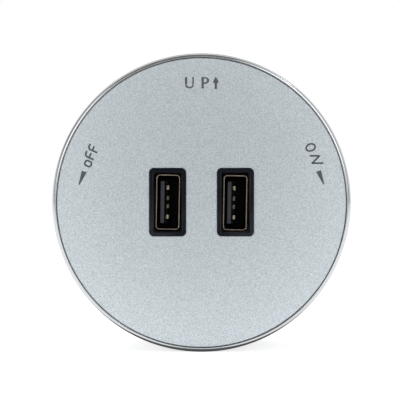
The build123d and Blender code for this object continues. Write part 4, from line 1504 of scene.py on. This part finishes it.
def off_mark():
    """The letters O, F and F on the left."""
    letter_o = box_outline(1.20, 1.53, 0.48, steps=5)()
    return [
        *upright((-26.566, 9.133), 155, [stroke(letter_o, 0.42, closed=True)]),
        *upright((-26.317, 10.502), 154.7, letter_f(2.32, 1.26, 1.24, 0.06)),
        *upright((-25.487, 12.160), 155, letter_f(2.44, 1.25, 1.14, 0.12)),
    ]


def on_mark():
    """The letters O and N on the right."""
    letter_o = arc((0, 0), 0.80, 0, 360, 32, up=1.09)[:-1]
    letter_n = [(25.32, 10.968), (27.62, 10.933), (25.93, 9.214), (28.62, 9.254)]
    return [
        *upright((25.565, 12.928), 20, [stroke(letter_o, 0.42, closed=True)]),
        stroke(letter_n, 0.43),
    ]


def arrow_outline():
    """The arrow beside UP, which has a rounded tail."""
    tip_x, tip_y = 3.346, 29.56
    half = [(0.72, -1.32), (0.28, -1.64), *arc((0, -2.74), 0.28, 0, -90, 6, up=0.25)]
    whole = [(0, 0), *half, *[(-across, up) for across, up in half[-2::-1]]]
    return [(tip_x + across, tip_y + up) for across, up in whole]


ink_sunk = 0.01
ink_proud = 0.02


def printed_marks():
    """All printed marks of the face, on its front: strokes of ink, and flat shapes for the arrows."""
    marks = up_mark() + off_mark() + on_mark()
    paths = [[(x, y, face_front) for x, y in places] for places, _, _ in marks]
    widths = [width for _, values, _ in marks for width in values]
    rings = [number for number, mark in enumerate(marks) if mark[2]]
    shape = bmesh.new()
    grow(shape, strokes, "dark_ink", {}, paths, rings, widths)
    off_wedge = [(-28.065, 7.481), (-26.876, 7.097), (-28.598, 4.102), (-28.846, 4.227)]
    on_wedge = [(28.013, 7.602), (26.833, 7.212), (28.595, 4.146), (28.776, 4.30)]
    for points in (arrow_outline(), off_wedge, on_wedge):
        plate(shape, lambda more: points, [(0, face_front - ink_sunk), (0, face_front + ink_proud)])
    finished("printed_marks", shape, "dark_ink", "head", crease=30)


# Camera, lights and floor

def stand_camera():
    """The camera in front of the face, at the photograph's distance and framing."""
    data = bpy.data.cameras.new("camera")
    data.sensor_width = sensor_width
    data.lens = sensor_width * camera_distance / view_width
    data.clip_start = 0.01
    camera = on_stage("camera", data)
    camera.location = (camera_across * MM, -(frame_front + camera_distance) * MM, camera_up * MM)
    camera.rotation_euler = (radians(90), 0, 0)
    bpy.context.scene.camera = camera


def stand_lamps():
    """Rectangular lamps that face the object. Only one of them shows in reflections."""
    for name, (at, (width, height), watts) in LAMPS.items():
        data = bpy.data.lights.new(name, "AREA")
        data.shape = "RECTANGLE"
        data.size = width
        data.size_y = height
        data.energy = watts
        lamp = on_stage(name, data)
        lamp.location = at
        lamp.rotation_euler = (-Vector(at)).to_track_quat("-Z", "Y").to_euler()
        lamp.visible_glossy = name == MIRRORED_LAMP


def floor_white():
    """The floor's surface: white to the camera apart from the object's faint shadow, and dim only close
    under the object to what mirrors it."""
    made, place = material("floor_white")
    tree = made.node_tree
    pale = mixed(noise(place, 3.0, 3.0), *[(level,) * 3 for level in floor_paleness])
    path = add(tree, "ShaderNodeLightPath").outputs
    across, back, _ = add(tree, "ShaderNodeSeparateXYZ", {"Vector": place}).outputs
    beside = between(worked("ABSOLUTE", across), 0.0, floor_glow, *floor_beside_span)
    nearest = (ring_front + ahead_from) * MM
    ahead = between(back, 0.0, ahead_glow, -nearest, -nearest - ahead_rise)
    ahead = times(ahead, between(back, 1.0, 0.0, *ahead_end_span))
    mirrored = times(path["Is Glossy Ray"], worked("MAXIMUM", beside, ahead))
    seen = times(path["Is Camera Ray"], floor_seen)
    inputs = tree.nodes["Principled BSDF"].inputs
    fill_in(inputs["Base Color"], mixed(path["Is Glossy Ray"], pale, (floor_mirrored,) * 3))
    fill_in(inputs["Emission Strength"], plus(seen, mirrored))
    fill_in(inputs["Emission Color"], (1, 1, 1, 1))
    fill_in(inputs["Roughness"], 1.0)
    fill_in(inputs["Specular IOR Level"], 0.0)
    return made


def stand_floor():
    """A wide floor under the ring."""
    level = ends("bezel_ring", "up")[0] * MM
    data = bpy.data.meshes.new("floor")
    corners = ((-1, -1), (1, -1), (1, 1), (-1, 1))
    data.from_pydata([(x * floor_reach, y * floor_reach, level) for x, y in corners], [], [(0, 1, 2, 3)])
    data.materials.append(floor_white())
    floor = on_stage("floor", data)


def light_world():
    """A studio that is white to the camera, with bright sides and a dim front to what mirrors it."""
    world = bpy.data.worlds.new("studio")
    world.use_nodes = True
    bpy.context.scene.world = world
    tree = world.node_tree
    direction = add(tree, "ShaderNodeTexCoord").outputs["Generated"]
    across, back, up = add(tree, "ShaderNodeSeparateXYZ", {"Vector": direction}).outputs
    square = plus(times(across, across), times(up, up))
    reach = worked("MAXIMUM", worked("SQRT", square), 0.001)

    def side_at(angle, half_width, softness=side_softness):
        """How far a direction lies in a side of the studio, which starts and ends softly."""
        along = plus(times(across, cos(radians(angle))), times(up, sin(radians(angle))))
        turn = worked("DIVIDE", along, reach)
        edges = [cos(radians(half_width + more)) for more in (softness, -softness)]
        return between(turn, 0.0, 1.0, *edges)

    right = side_at(*right_side)
    left = side_at(*left_side)
    sides = plus(times(right, right_glow), times(left, left_glow))
    sides = times(sides, between(reach, side_low, 1.0, *side_span))
    above = side_at(*top_side)
    above = times(above, between(reach, 0.0, top_glow, *top_span))
    above = times(above, between(back, 1.0, 0.0, *top_back_span))
    sides = worked("MAXIMUM", sides, above)
    behind = between(back, 0.0, 1.0, *behind_span)
    halo = times(between(reach, 0.0, 1.0, *halo_inner_span), between(reach, 1.0, 0.0, *halo_outer_span))
    halo = times(halo, between(back, 1.0, 0.0, *halo_back_span))
    shade = side_at(*halo_shade, halo_shade_softness)
    lift = worked("DIVIDE", up, reach)
    halo = times(halo, between(lift, halo_lift_low, 1.0, *halo_lift_span))
    halo = times(halo, between(shade, halo_glow, halo_shade_glow, 0.0, 1.0))
    mirrored = worked("MAXIMUM", plus(sides, front_glow), behind)
    mirrored = worked("MAXIMUM", mirrored, halo)
    path = add(tree, "ShaderNodeLightPath").outputs
    mirror_ray = worked("MAXIMUM", path["Is Glossy Ray"], path["Is Transmission Ray"])
    level = result("ShaderNodeMix", {0: mirror_ray, 2: room_light, 3: mirrored})
    level = result("ShaderNodeMix", {0: path["Is Camera Ray"], 2: level, 3: 1.0})
    inputs = tree.nodes["Background"].inputs
    fill_in(inputs["Color"], (1, 1, 1, 1))
    fill_in(inputs["Strength"], level)


bezel_ring()
face_plate()
port_panel()
for receptacle in port_places:
    usb_shell(receptacle)
    usb_tongue(receptacle)
    usb_contacts(receptacle)
printed_marks()
all_screws()
base_plate()
pin_covers()
for pin, pin_side in (("upper", 1), ("lower", -1)):
    lock_pin(pin, pin_side)
    lock_spring(pin, pin_side)
track_contacts()
key_body()
key_spacer()
glide_washer()
stand_camera()
light_world()
stand_lamps()
stand_floor()
bpy.context.scene.view_settings.view_transform = "Standard"
